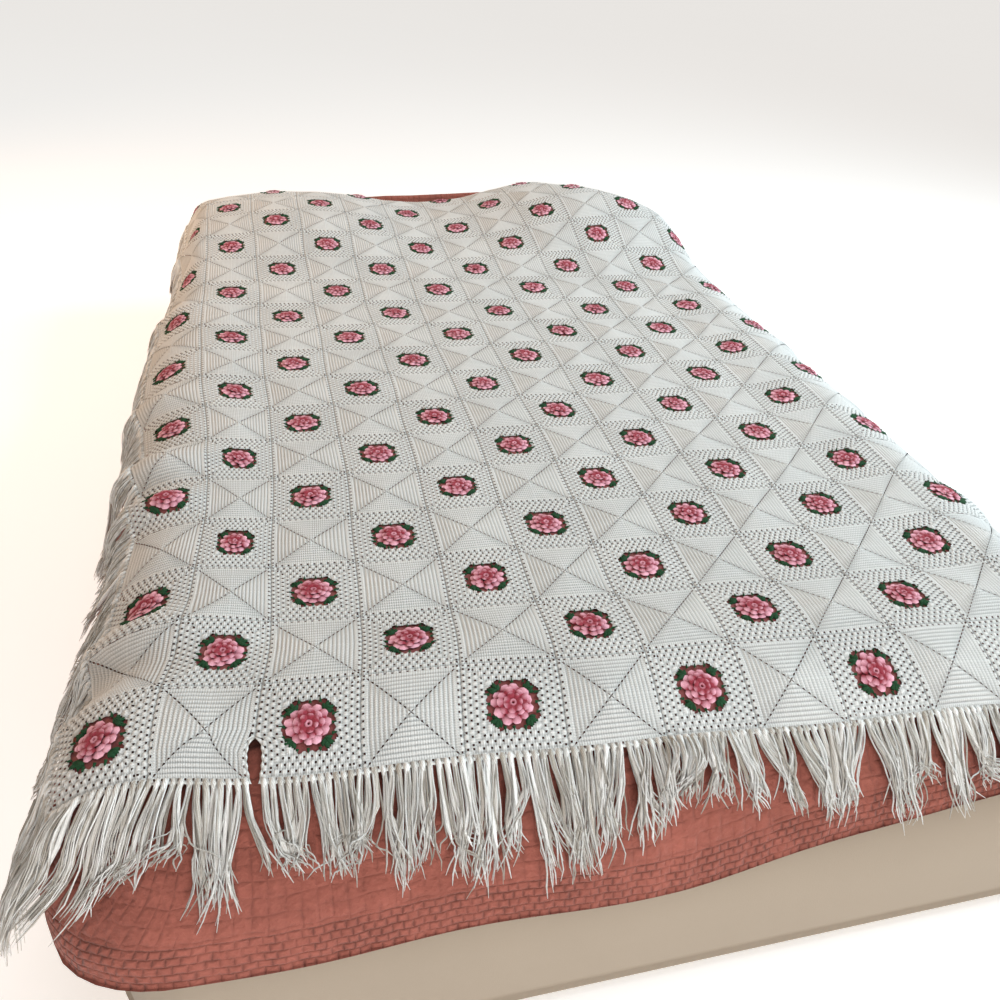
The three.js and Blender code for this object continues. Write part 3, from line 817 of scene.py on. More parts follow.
def quilt_finish(colours, block):
    """Coral cotton: broken lines of stitching run up from the hem and along it about a block apart, and
    staggered rows of half blocks fill the hem; it is crinkled between the lines, and painted shade makes it
    darker in the sunk lines and dark below the afghan."""
    material, shader, wire = new_finish("coral_quilted_cotton", 0.9, 0.1)
    place = wire.node("ShaderNodeTexCoord", output="Object")
    along, down = split_map(wire, "quilting")
    waver = noise(wire, place, 24.0)
    waver_down = noise(wire, place, 33.0)
    weave = noise(wire, place, 1100.0, 1.0)
    crinkle = noise(wire, place, 120.0, 4.0)
    fade = noise(wire, place, 13.0, 3.0)
    turns = np.pi / block
    up_kept = wire.math("MULTIPLY_ADD", noise(wire, place, 47.0), 3.4, -1.0, clamp=True)
    along_kept = wire.math("MULTIPLY_ADD", noise(wire, place, 58.0), 3.4, -1.0, clamp=True)
    low_row = wire.math("FLOOR", down * (2.0 / block) + waver_down * (0.8 / np.pi))
    offset = wire.math("MODULO", low_row, 2.0) * (np.pi / 2)
    up_lines = stitched(wire, along, 1.1 * turns, waver * 1.5, 2.0) * up_kept
    along_lines = stitched(wire, down, 1.0 * turns, waver_down * 1.5, 2.4) * along_kept
    fine_up = stitched(wire, along, 1.5 * turns, waver * 2.0 + offset, 1.7)
    fine_along = stitched(wire, down, 2.0 * turns, waver_down * 0.8, 1.7)
    near_hem = wire.math("LESS_THAN", down, HEM_BLOCKS * block)
    broad = wire.math("MAXIMUM", up_lines, along_lines) * (1 - near_hem)
    low_grid = wire.math("MAXIMUM", fine_up, fine_along) * (0.4 + 0.6 * along_kept)
    sunk = broad * 0.50 + low_grid * near_hem
    # Painted shade: the sunk lines of stitching are darkened in the tone as well as lowered in the bump
    tone = 0.04 + fade * 0.55 + crinkle * 0.56 + weave * 0.15 - sunk * 0.46
    open_colour = wire.mix(tone, opaque(colours.coral, 0.40), opaque(colours.coral, 1.10))
    # Painted shade: the quilt is darkened where it lies under the afghan, a little in from the cloth's edge
    painted_shade_under_afghan = wire.math("MULTIPLY_ADD", attribute(wire, "inside"), 70.0, 0.3, clamp=True)
    colour = wire.mix(painted_shade_under_afghan, open_colour, opaque(colours.coral, 0.32))
    feed(wire, colour, shader.inputs["Base Color"])
    raise_surface(wire, shader, crinkle * 1.7 + weave * 0.15 - sunk * 1.1, 0.75, 0.0030)
    return material


def ticking_finish(colours):
    """Pale woven ticking with a fine weave."""
    material, shader, wire = new_finish("pale_ticking", 0.9, 0.1)
    place = wire.node("ShaderNodeTexCoord", output="Object")
    weave = noise(wire, place, 900.0, 1.0)
    cloud = noise(wire, place, 5.0)
    tone = cloud * 0.6 + weave * 0.4
    colour = wire.mix(tone, opaque(colours.ticking, 0.92), opaque(colours.ticking, 1.06))
    feed(wire, colour, shader.inputs["Base Color"])
    raise_surface(wire, shader, weave, 0.3, 0.0006)
    return material


def floor_finish(colours):
    """Matt pale floor with a faint cloud, lit a little from below as a studio sweep is."""
    material, shader, wire = new_finish("pale_floor", 0.95, 0.0)
    shader.inputs["Emission Color"].default_value = (1.0, 1.0, 1.0, 1.0)
    shader.inputs["Emission Strength"].default_value = FLOOR_GLOW
    place = wire.node("ShaderNodeTexCoord", output="Object")
    cloud = noise(wire, place, 0.7)
    colour = wire.mix(cloud, opaque(colours.floor, 0.99), opaque(colours.floor, 1.01))
    feed(wire, colour, shader.inputs["Base Color"])
    return material


def add_piece(name, points, faces, material, uv=None, attributes=None):
    """Puts points and rows of face corners into a smooth mesh object, with a UV map and point
    attributes."""
    points = np.ascontiguousarray(points, dtype=np.float32).reshape(-1, 3)
    corners = np.concatenate([rows.reshape(-1) for rows in faces]).astype(np.int32)
    sizes = np.concatenate([np.full(len(rows), rows.shape[1]) for rows in faces])
    starts = (np.cumsum(sizes) - sizes).astype(np.int32)
    mesh = bpy.data.meshes.new(name)
    mesh.vertices.add(len(points))
    mesh.vertices.foreach_set("co", points.ravel())
    mesh.loops.add(len(corners))
    mesh.loops.foreach_set("vertex_index", corners)
    mesh.polygons.add(len(sizes))
    mesh.polygons.foreach_set("loop_start", starts)
    mesh.polygons.foreach_set("use_smooth", np.ones(len(sizes), dtype=bool))
    mesh.update(calc_edges=True)
    if uv is not None:
        map_name, values = uv
        layer = mesh.uv_layers.new(name=map_name)
        layer.uv.foreach_set("vector", values.reshape(-1, 2)[corners].astype(np.float32).ravel())
    for key, values in (attributes or {}).items():
        layer = mesh.attributes.new(key, "FLOAT", "POINT")
        layer.data.foreach_set("value", np.ascontiguousarray(values, dtype=np.float32).ravel())
    mesh.materials.append(material)
    piece = bpy.data.objects.new(name, mesh)
    bpy.context.scene.collection.objects.link(piece)
    return piece


def grid_quads(rows, columns, wrap=False):
    """Corner numbers of the quads of a grid of points, row by row, closed round its columns if wrap is
    set."""
    here = np.arange(rows * columns).reshape(rows, columns)
    right = np.roll(here, -1, axis=1)
    last = columns if wrap else columns - 1
    quads = np.stack([here[:-1], right[:-1], right[1:], here[1:]], axis=-1)
    return quads[:, :last].reshape(-1, 4)


def repeated(faces, points_each, count):
    """The same faces for each of count copies of a shape."""
    shift = np.arange(count)[:, None, None] * points_each
    return (faces[None] + shift).reshape(-1, faces.shape[1])


def bed_loop(foot_steps, side_steps, head_steps, corner_steps):
    """Runs once round the inner rectangle of the bed's top: points, outward headings and the ends' round
    radius. Corners are fans of headings at one point. The run closes over a strip a millimetre wide at
    the head's right corner."""
    low_x, high_x = SIDE_ROUND - HALF_WIDTH, HALF_WIDTH - SIDE_ROUND
    low_y, high_y = FOOT_ROUND - HALF_LENGTH, HALF_LENGTH - HEAD_ROUND
    turns = np.linspace(0, np.pi / 2, corner_steps + 1)
    foot = np.linspace(low_x, high_x, foot_steps)
    right = np.linspace(low_y, high_y, side_steps)[1:-1]
    head = np.append(high_x - CLOSING_STRIP, np.linspace(high_x, low_x, head_steps)[1:])
    left = right[::-1]
    pieces = [
        (foot, np.full_like(foot, low_y), np.full_like(foot, -np.pi / 2)),
        (np.full_like(turns, high_x)[1:], np.full_like(turns, low_y)[1:], turns[1:] - np.pi / 2),
        (np.full_like(right, high_x), right, np.zeros_like(right)),
        (np.full_like(turns, high_x), np.full_like(turns, high_y), turns),
        (head, np.full_like(head, high_y), np.full_like(head, np.pi / 2)),
        (np.full_like(turns, low_x)[1:], np.full_like(turns, high_y)[1:], turns[1:] + np.pi / 2),
        (np.full_like(left, low_x), left, np.full_like(left, np.pi)),
        (np.full_like(turns, low_x)[:-1], np.full_like(turns, low_y)[:-1], turns[:-1] + np.pi),
    ]
    # The run starts and ends behind the head's right corner
    x, y, angle = (np.concatenate(column) for column in zip(*pieces[4:], *pieces[:4]))
    heading = np.stack([np.cos(angle), np.sin(angle)], axis=-1)
    end_round = np.where(y > 0, HEAD_ROUND, FOOT_ROUND)
    return x, y, heading, end_round


def bed_shell(loop, out, down, inset):
    """Surface round the bed. For each point of the loop, out turns it from the flat top over the round to
    the side (0 to a quarter turn) or, below 0, moves it in towards the bed's middle, and down lowers it
    along the side."""
    x, y, heading, end_round = loop
    turn = np.clip(out, 0, None)
    inward = 1 + np.clip(out, -1, 0)
    place_x = x * inward + (SIDE_ROUND - inset) * heading[:, 0] * np.sin(turn)
    place_y = y * inward + (end_round - inset) * heading[:, 1] * np.sin(turn)
    rounding = (SIDE_ROUND - inset) * heading[:, 0] ** 2 + (end_round - inset) * heading[:, 1] ** 2
    height = BED_TOP - inset + pillow_rise(place_x, place_y) - rounding * (1 - np.cos(turn)) - down
    return np.stack([place_x, place_y, height], axis=-1)


def shell_lengths(loop, out, down):
    """Lengths across and along the bed of the points of a shell, as the cloth's lie counts them."""
    x, y, heading, end_round = loop
    turn = np.clip(out, 0, None)
    inward = 1 + np.clip(out, -1, 0)
    across = x * inward + heading[:, 0] * (SIDE_ROUND * turn + down)
    along = y * inward + heading[:, 1] * (end_round * turn + down)
    return across, along


def shell_normal(points):
    """Outward normals of a grid of rings that is closed round its columns."""
    around = np.roll(points, -1, axis=1) - np.roll(points, 1, axis=1)
    down = np.gradient(points, axis=0)
    return unit(np.cross(down, around))


def hem_height(x, y, heading):
    """Height of the quilt's hem: low on the foot's left half, rising to its right, and a slow wave
    elsewhere."""
    at_foot = np.clip(-heading[:, 1], 0, 1)
    foot = HEM_FOOT + HEM_FOOT_RISE * smoothstep(x, *HEM_RISE_ACROSS) + 0.004 * np.sin(x * 17)
    elsewhere = HEM_ELSEWHERE + 0.008 * np.sin(y * 5.0) + 0.005 * np.sin(y * 13.0 + 1.0)
    return elsewhere + (foot - elsewhere) * at_foot


def under_cloth(u, v, square):
    """Distance in from the cloth's edge or from the undone seam's sides at a place on the cloth; below 0
    outside."""
    inside = np.minimum(COLUMNS * square / 2 - np.abs(u), ROWS * square / 2 - np.abs(v))
    beside = np.abs(u - open_seam(square)) - seam_gape(v, square)
    at_seam = seam_gape(v, square) > 0
    return np.where(at_seam, np.minimum(inside, beside), inside)


def add_quilt(colours, sizes):
    """The quilt: rings from near the bed's middle out over its rounds and down to the hem, which rolls
    under. Waves across and along it, two blocks or more long, sink it by a few millimetres between soft
    puffs, it is bunched up under the afghan's side folds, and its end is turned over in a roll at the
    head."""
    block = sizes.quilt_block
    loop = bed_loop(foot_steps=248, side_steps=72, head_steps=30, corner_steps=12)
    x, y, heading, end_round = loop
    hem = hem_height(x, y, heading)
    flat = np.array(QUILT_FLAT) - 1
    turning = np.concatenate([np.linspace(0, QUILT_CLOSER, 8), np.linspace(QUILT_CLOSER, 1, 26)[1:]])
    falling = np.linspace(0, 1, 8)[1:]
    radius = SIDE_ROUND * heading[:, 0] ** 2 + end_round * heading[:, 1] ** 2
    side_fall = np.maximum(BED_TOP - radius - hem, 0)
    # On the foot the hem lies on the round, so the turn stops where the round has dropped to the hem
    stop = np.arccos(np.clip(1 - (BED_TOP - hem) / radius, 0, 1))
    out = np.concatenate(
        [
            np.repeat(flat[:, None], len(x), axis=1),
            turning[:, None] * stop,
            np.repeat(stop[None], len(falling), axis=0),
        ]
    )
    down = np.concatenate([np.zeros((len(flat) + len(turning), len(x))), falling[:, None] * side_fall])
    points = bed_shell(loop, out, down, 0.0)
    across, along = shell_lengths(loop, out, down)
    rolled_up = smoothstep(along, *HEAD_ROLL_RISE) * (1 - smoothstep(along, *HEAD_ROLL_FALL))
    points[..., 2] += HEAD_ROLL * bump(across, HEAD_ROLL_REACH) * rolled_up
    u, v = cloth_place(across, along, sizes.square)
    inside = under_cloth(u, v, sizes.square)
    normal = shell_normal(points)

    # Lengths along the hem and up from it lay out the quilting
    step = np.linalg.norm(np.diff(points, axis=0), axis=-1)
    from_hem = np.concatenate([np.cumsum(step[::-1], axis=0)[::-1], np.zeros((1, len(x)))])
    ring = points[len(flat) + len(turning) - 1]
    around = np.cumsum(np.linalg.norm(ring - np.roll(ring, 1, axis=0), axis=-1))
    around = np.repeat(around[None], len(points), axis=0)
    waver = 0.9 * np.sin(around * 31) + 0.9 * np.sin(from_hem * 41 + around * 7)
    ribs = 0.5 + 0.5 * np.sin(np.pi * around / block + waver)
    rows = 0.5 + 0.5 * np.sin(np.pi * from_hem / (1.4 * block) + waver)
    sunk = 1 - 0.5 * (ribs + rows)
    under = smoothstep(inside, *QUILT_SINK_REACH)
    raised = QUILT_FOLLOWS * side_folds(u, v, sizes.square)
    height = raised - QUILT_PUFF * sunk - QUILT_GAP - QUILT_SINK * under
    points = points + normal * height[..., None]
    points[..., 0] += drawn_in(points) - flare(points)

    # The hem rolls under in half a circle
    toward = unit(points[-1] - points[-4])
    inward = -normal[-1]
    angles = np.linspace(0, np.pi, 6)[1:, None, None]
    rolled = points[-1] + QUILT_HEM_ROLL * (toward * np.sin(angles) + inward * (1 - np.cos(angles)))
    points = np.concatenate([points, rolled])
    layout = np.stack([around, from_hem], axis=-1)
    layout = np.concatenate([layout, np.repeat(layout[-1:], len(rolled), axis=0)])
    inside = np.concatenate([inside, np.repeat(inside[-1:], len(rolled), axis=0)])

    rings, columns = points.shape[:2]
    middle = points[0].mean(axis=0)
    here = np.arange(columns)
    hub = np.stack([here, np.roll(here, -1), np.full(columns, rings * columns)], axis=-1)
    faces = [grid_quads(rings, columns, wrap=True)[:, ::-1], hub]
    points = np.concatenate([points.reshape(-1, 3), [middle]]) + BED_MIDDLE
    layout = np.concatenate([layout.reshape(-1, 2), [[0, 0]]])
    inside = np.append(inside.ravel(), inside.max())
    finish = quilt_finish(colours, block)
    return add_piece("quilt", points, faces, finish, uv=("quilting", layout), attributes={"inside": inside})


def add_mattress(colours):
    """The mattress below the quilt: a wall a little inside it, with a rounded lower edge and a piped
    seam."""
    loop = bed_loop(foot_steps=24, side_steps=24, head_steps=12, corner_steps=10)
    x, _, heading, end_round = loop
    radius = SIDE_ROUND * heading[:, 0] ** 2 + end_round * heading[:, 1] ** 2
    turning = np.linspace(WALL_FIRST_TURN, np.pi / 2, 8)
    share, bulge = (np.array(column) for column in zip(*WALL_LEVELS))
    wall = BED_TOP - radius - WALL_BOTTOM
    out = np.append(turning, np.full(len(share), np.pi / 2))
    out = np.repeat(out[:, None], len(x), axis=1)
    down = np.concatenate([np.zeros((len(turning), len(x))), share[:, None] * wall])
    points = bed_shell(loop, out, down, WALL_INSET)
    # The pillows' rise fades down the wall, so that its lower edge runs level
    faded = np.concatenate([np.zeros(len(turning)), share])[:, None]
    points[..., 2] -= faded * pillow_rise(points[..., 0], points[..., 1])
    outward = np.concatenate([heading, np.zeros((len(x), 1))], axis=-1)
    points = points + np.concatenate([np.zeros(len(turning)), bulge])[:, None, None] * outward
    points[..., 0] += drawn_in(points)
    foot_ring = (points[-1] - outward * WALL_TURN_IN) * np.array([1, 1, 0])
    points = np.concatenate([points, foot_ring[None], foot_ring[None] * WALL_INNER_RING])
    rings, columns = points.shape[:2]
    points = np.concatenate([points.reshape(-1, 3), [[0, 0, 0]]]) + BED_MIDDLE
    last = (rings - 1) * columns + np.arange(columns)
    hub = np.stack([last, np.roll(last, -1), np.full(columns, rings * columns)], axis=-1)
    faces = [grid_quads(rings, columns, wrap=True)[:, ::-1], hub[:, ::-1]]
    return add_piece("mattress_wall", points, faces, ticking_finish(colours))


class AFGHAN_OT_bed(bpy.types.Operator):
    """Makes the quilt over the bed and the mattress below it"""

    bl_idname = "afghan.bed"
    bl_label = "Quilt and Mattress"

    def execute(self, context):
        colours = context.scene.afghan_colours
        quilt = add_quilt(colours, context.scene.afghan_sizes)
        mattress = add_mattress(colours)
        for piece in (quilt, mattress):
            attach(piece, "root")
            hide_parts("mattress")
        return {"FINISHED"}


class Tile:
    """One crochet square at its own middle: places, puff, tone, stitch map and faces, as arrays; the tone is
    a painted shade, low in the valleys and along the joins.
    """

    def __init__(self, u, v, puff, tone, stitch, faces):
        self.u = u
        self.v = v
        self.puff = puff
        self.tone = tone
        self.stitch = stitch
        self.faces = faces

    def joined(self, other):
        """This tile and another as one."""
        return Tile(
            np.concatenate([self.u, other.u]),
            np.concatenate([self.v, other.v]),
            np.concatenate([self.puff, other.puff]),
            np.concatenate([self.tone, other.tone]),
            np.concatenate([self.stitch, other.stitch]),
            np.concatenate([self.faces, other.faces + len(self.u)]),
        )


def running_lengths(x, y):
    """Ring distance from the middle and running length along the side, which goes round the square one
    way."""
    ring = np.maximum(np.abs(x), np.abs(y))
    flat_side = np.abs(y) >= np.abs(x)
    run = np.where(flat_side, -x * np.sign(y), y * np.sign(x))
    return ring, run


def cluster_band(square, band_cells, corner_cells, scallop):
    """The outer rounds of a square on a grid of cells. Each round is three cells deep and its clusters
    four long; one cell in each stays open, half a cluster further on in every second round, and each
    corner has its hole. Clusters swell between the holes, the innermost edge is scalloped by part of a
    cell, and the corners of the opening are filled in so that it has eight sides."""
    half = TILE_CELLS // 2
    cell = square / TILE_CELLS
    lines = np.arange(TILE_CELLS + 1) - half
    x, y = np.meshgrid(lines, lines)
    ring, run = running_lengths(x, y)
    cells = np.arange(TILE_CELLS) + 0.5 - half
    cell_x, cell_y = np.meshgrid(cells, cells)
    cell_ring, cell_run = running_lengths(cell_x, cell_y)
    depth = (half - np.ceil(cell_ring)).astype(int)
    round_number = depth // CELLS_PER_ROUND
    shift = (round_number % 2) * (CELLS_PER_CLUSTER // 2)
    step = np.floor(cell_run).astype(int)
    corner_cell = np.abs(cell_x) == np.abs(cell_y)
    near_corner = cell_ring - np.abs(cell_run) < 1.5
    hole_row = depth % CELLS_PER_ROUND == 1
    hole = hole_row & ((step + shift) % CELLS_PER_CLUSTER == 1) & ~near_corner
    hole = (hole | (hole_row & corner_cell)) & (depth < band_cells)
    opening = half - band_cells
    from_corner = 2 * opening - np.abs(cell_x) - np.abs(cell_y)
    kept = ((depth < band_cells) | (from_corner < corner_cells)) & ~hole
    quads = grid_quads(TILE_CELLS + 1, TILE_CELLS + 1)[kept.ravel()]

    vertex_depth = half - ring
    vertex_round = np.floor(vertex_depth / CELLS_PER_ROUND)
    along = (run - 1.5 + (vertex_round % 2) * CELLS_PER_CLUSTER / 2) / CELLS_PER_CLUSTER
    swell = 0.5 - 0.5 * np.cos(2 * np.pi * along)
    body = np.choose(vertex_depth % CELLS_PER_ROUND, ROUND_PUFFS)
    puff = body * (CLUSTER_LOW + (1 - CLUSTER_LOW) * swell)
    puff = np.where(vertex_depth == 0, SEAM_PUFF, puff)

    # Points round a hole move out from it a little, so that it is rounder than its cell
    around = np.zeros((2,) + ring.shape)
    for dx, dy in ((0, 0), (1, 0), (0, 1), (1, 1)):
        rows = slice(dy, dy + TILE_CELLS)
        columns = slice(dx, dx + TILE_CELLS)
        around[0, rows, columns] += np.where(hole, dx - 0.5, 0)
        around[1, rows, columns] += np.where(hole, dy - 0.5, 0)
    u = (x + HOLE_SPREAD * around[0]) * cell
    v = (y + HOLE_SPREAD * around[1]) * cell
    innermost = (vertex_depth == band_cells) & (np.abs(x) + np.abs(y) < 2 * opening - corner_cells)
    notch = np.where(innermost, (-SCALLOP_NOTCH - SCALLOP_CREST * swell) * scallop, 0) * cell
    puff = np.where((vertex_depth == band_cells) & (scallop == 0), INNER_PUFF, puff)
    u = u + notch * np.sign(x) * (np.abs(x) == ring)
    v = v + notch * np.sign(y) * (np.abs(y) == ring)
    stitch = np.stack([np.abs(run), ring], axis=-1) / TILE_CELLS

    used = np.unique(quads)
    renumber = np.zeros(x.size, dtype=int)
    renumber[used] = np.arange(len(used))
    # Painted shade: the tone follows the puff, and the joins between squares start darker
    row_join, column_join = (added * swell - dark for added, dark in (ROW_JOIN_SHADE, COLUMN_JOIN_SHADE))
    tone = np.where(np.abs(y) == half, row_join, puff)
    tone = np.where(np.abs(x) == half, column_join, tone).ravel()[used]
    puff = puff.ravel()[used]
    return Tile(u.ravel()[used], v.ravel()[used], puff, tone, stitch.reshape(-1, 2)[used], renumber[quads])


def ribbed_middle(square, half_size):
    """The middle of a plain square: four sides of straight ribs, three rings of points for each rib, with
    the sides' ends pulled back from the diagonals on every crest so that a row of slits runs to each
    corner."""
    profile = np.array([0.0, 0.36, 0.72])
    height = np.array([0.12, 0.90, 0.62])
    pulled = np.array([0.0, 1.0, 0.0])
    rib = half_size / PLAIN_RIBS
    rings = ((np.arange(PLAIN_RIBS)[:, None] + profile) * rib).ravel()
    rings = np.append(rings, half_size)
    heights = np.append(np.tile(height, PLAIN_RIBS), INNER_PUFF)
    pulls = np.append(np.tile(pulled, PLAIN_RIBS), 0.0)
    rings[0] = RIB_HOLE
    share = np.array([-1.0, -0.55, 0.0, 0.55, 1.0])
    reach = rings - pulls * np.minimum(RIB_SLIT, rings * 0.6)
    run = reach[:, None] * share
    out = np.repeat(rings[:, None], len(share), axis=1)
    puff = np.repeat(heights[:, None], len(share), axis=1)
    puff[:-1] = puff[:-1] * np.where(np.abs(share) == 1, 0.6, 1.0)
    # Painted shade: the tone is darker low between the ribs
    tone = RIB_SHADE[0] + RIB_SHADE[1] * puff
    stitch = np.stack([np.abs(run), out], axis=-1).reshape(-1, 2) / square
    quads = grid_quads(len(rings), len(share))[:, ::-1]
    tile = None
    for cosine, sine in ((1, 0), (0, 1), (-1, 0), (0, -1)):
        u = (run * cosine + out * sine).ravel()
        v = (run * sine - out * cosine).ravel()
        side = Tile(u, v, puff.ravel(), tone.ravel(), stitch, quads)
        tile = side if tile is None else tile.joined(side)
    return tile


def lay_tiles(tile, centre_u, centre_v, sizes, rng):
    """Copies a tile to each centre, swollen in its middle by its own amount, and drapes it."""
    square = sizes.square
    count = len(centre_u)
    swelling = rng.uniform(*SQUARE_SWELL, count)[:, None]
    tilt = rng.normal(0, SQUARE_TILT, (2, count, 1))
    tile_u = tile.u / square
    tile_v = tile.v / square
    dome = np.cos(np.pi * np.clip(tile_u, -0.5, 0.5)) * np.cos(np.pi * np.clip(tile_v, -0.5, 0.5))
    lift = CLOTH_BODY + tile.puff * sizes.puff + dome * (swelling + tilt[0] * tile_u + tilt[1] * tile_v)
    side = np.sign(centre_u - open_seam(square))[:, None]
    v = centre_v[:, None] + tile.v
    u = part_seam(centre_u[:, None] + tile.u, v, side, square)
    points = drape(u, v, lift, square)
    faces = repeated(tile.faces, len(tile.u), count)
    return points.reshape(-1, 3), faces, np.tile(tile.stitch, (count, 1)), np.tile(tile.tone, count)


class AFGHAN_OT_squares(bpy.types.Operator):
    """Makes the crochet squares in four bands of rows"""

    bl_idname = "afghan.squares"
    bl_label = "Crochet Squares"

    def execute(self, context):
        sizes = context.scene.afghan_sizes
        square = sizes.square
        finish = crochet_finish(context.scene.afghan_colours)
        rng = np.random.default_rng(SQUARES_SEED)
        rose_tile = cluster_band(square, ROSE_BAND_CELLS, OPENING_CORNER_CELLS, 1.0)
        plain_edge = cluster_band(square, PLAIN_BAND_CELLS, 0, 0.0)
        middle_half = square / 2 - PLAIN_BAND_CELLS * square / TILE_CELLS
        plain_tile = plain_edge.joined(ribbed_middle(square, middle_half))
        for name, first_row, last_row in BANDS:
            parts = []
            for kind, tile in enumerate((rose_tile, plain_tile)):
                centre_u, centre_v = square_centres(kind, first_row, last_row, square)
                parts.append(lay_tiles(tile, centre_u, centre_v, sizes, rng))
            faces = np.concatenate([parts[0][1], parts[1][1] + len(parts[0][0])])
            points, stitch, tone = (np.concatenate([part[i] for part in parts]) for i in (0, 2, 3))
            # The attribute named puff carries the tone of painted shade
            band = add_piece(
                f"crochet_{name}", points, [faces], finish, uv=("stitch", stitch), attributes={"puff": tone}
            )
            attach(band, "root")
            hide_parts("afghan")
            sewn_on = ["roses", "leaves", "edging", "fringe_left_yarn", "fringe_right_yarn"]
            if first_row == 0:
                sewn_on += ["fringe_foot_corner_yarn", "fringe_foot_yarn"]
        return {"FINISHED"}


def petal_grid(across_steps, along_steps):
    """A petal's two parameters on a grid: across from -1 to 1 and along from 0 at its root to 1 at its
    rim."""
    across = np.linspace(-1, 1, across_steps)
    along = np.linspace(0, 1, along_steps)
    return np.meshgrid(across, along)


def rose_petals(centre_u, centre_v, sizes, rng):
    """Petals of all roses. A petal's half width follows an ellipse from its root to its rim, which is cut
    back at its two corners; it climbs from its inner to its outer height, swells across its middle and
    rolls over at the rim; each is turned, stretched and raised by a little of its own."""
    across, along = petal_grid(5, 4)
    count = len(centre_u)
    radius, rise = sizes.rose_radius, sizes.rose_rise
    turn_of_rose = rng.uniform(0, 2 * np.pi, (count, 1, 1, 1))
    half_width = np.sqrt(1 - ((along - PETAL_WIDEST) / PETAL_HALF_LENGTH) ** 2)
    rounded = along - PETAL_CUT * across**4 * along**2
    swell = (1 - across**2) * np.sin(np.pi * (0.15 + 0.75 * along))
    # Painted light and shade: paler towards the rim and on the swell, darker across towards the gaps between
    # petals
    paleness = 0.90 * along**2 + 0.30 * swell - 0.42 * across**2 - 0.12
    points, faces, rims, casts = [], [], [], []
    used = 0
    for number, turn, inner, outer, width, low, high, roll, pale in TIERS:
        shape = (count, number, 1, 1)
        base = (np.arange(number) + turn) * 2 * np.pi / number
        heading = base[None, :, None, None] + turn_of_rose + rng.normal(0, PETAL_TURN, shape)
        stretch = 1 + rng.normal(0, PETAL_REACH, shape)
        raised = rng.normal(0, PETAL_RAISE, shape)
        reach = radius * (inner + (outer * stretch - inner) * rounded)
        sideways = radius * width * across * half_width * (1 + rng.normal(0, PETAL_WIDTH, shape))
        shaped = low + (high - low) * along + PETAL_SWELL * swell - roll * along**4
        height = rise * shaped + raised + PETAL_LIFT
        u = centre_u[:, None, None, None] + reach * np.cos(heading) - sideways * np.sin(heading)
        v = centre_v[:, None, None, None] + reach * np.sin(heading) + sideways * np.cos(heading)
        points.append(drape(u, v, height, sizes.square).reshape(-1, 3))
        petals = count * number
        faces.append(repeated(grid_quads(*along.shape)[:, ::-1], along.size, petals) + used)
        used += petals * along.size
        rims.append(np.tile(paleness.ravel() + pale, petals))
        casts.append(np.repeat(rng.uniform(0, 1, petals), along.size))

    # The heart, rings of stitches round a small hole, and the round of painted shade below the rose
    heart = np.array(HEART_RINGS)
    shade_round = np.array([(reach, SHADE_ROUND_HEIGHT, 0.0) for reach in SHADE_ROUND_REACH])
    rounds = ((heart, HEART_SPOKES, HEART_LUMPS), (shade_round, SHADE_ROUND_SPOKES, SHADE_ROUND_LUMPS))
    for rings, spokes, lumps in rounds:
        reach, height, pale = (column[:, None] for column in rings.T)
        heading = np.arange(spokes) * 2 * np.pi / spokes + turn_of_rose[:, :, :, 0]
        u = centre_u[:, None, None] + radius * reach * np.cos(heading)
        v = centre_v[:, None, None] + radius * reach * np.sin(heading)
        lumpy = rng.normal(0, lumps, heading.shape[:1] + (len(rings), spokes))
        points.append(drape(u, v, rise * height + lumpy, sizes.square).reshape(-1, 3))
        quads = grid_quads(len(rings), spokes, wrap=True)[:, ::-1]
        faces.append(repeated(quads, len(rings) * spokes, count) + used)
        used += count * len(rings) * spokes
        rims.append(np.tile(np.repeat(pale.ravel(), spokes), count))
        casts.append(np.repeat(rng.uniform(0, 1, count), len(rings) * spokes))
    shade_round_share = np.zeros(used)
    shade_round_share[-count * len(shade_round) * SHADE_ROUND_SPOKES :] = 1
    attributes = {"rim": np.concatenate(rims), "cast": np.concatenate(casts), "shade_round": shade_round_share}
    return np.concatenate(points), np.concatenate(faces), attributes


class AFGHAN_OT_roses(bpy.types.Operator):
    """Makes a rose of three tiers of cupped petals round a ringed heart on every second square"""

    bl_idname = "afghan.roses"
    bl_label = "Roses"

    def execute(self, context):
        sizes = context.scene.afghan_sizes
        centre_u, centre_v = square_centres(0, 0, ROWS, sizes.square)
        points, faces, attributes = rose_petals(centre_u, centre_v, sizes, np.random.default_rng(ROSES_SEED))
        finish = rose_finish(context.scene.afghan_colours)
        roses = add_piece("roses", points, [faces], finish, attributes=attributes)
        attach(roses, "root")
        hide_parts("afghan")
        return {"FINISHED"}


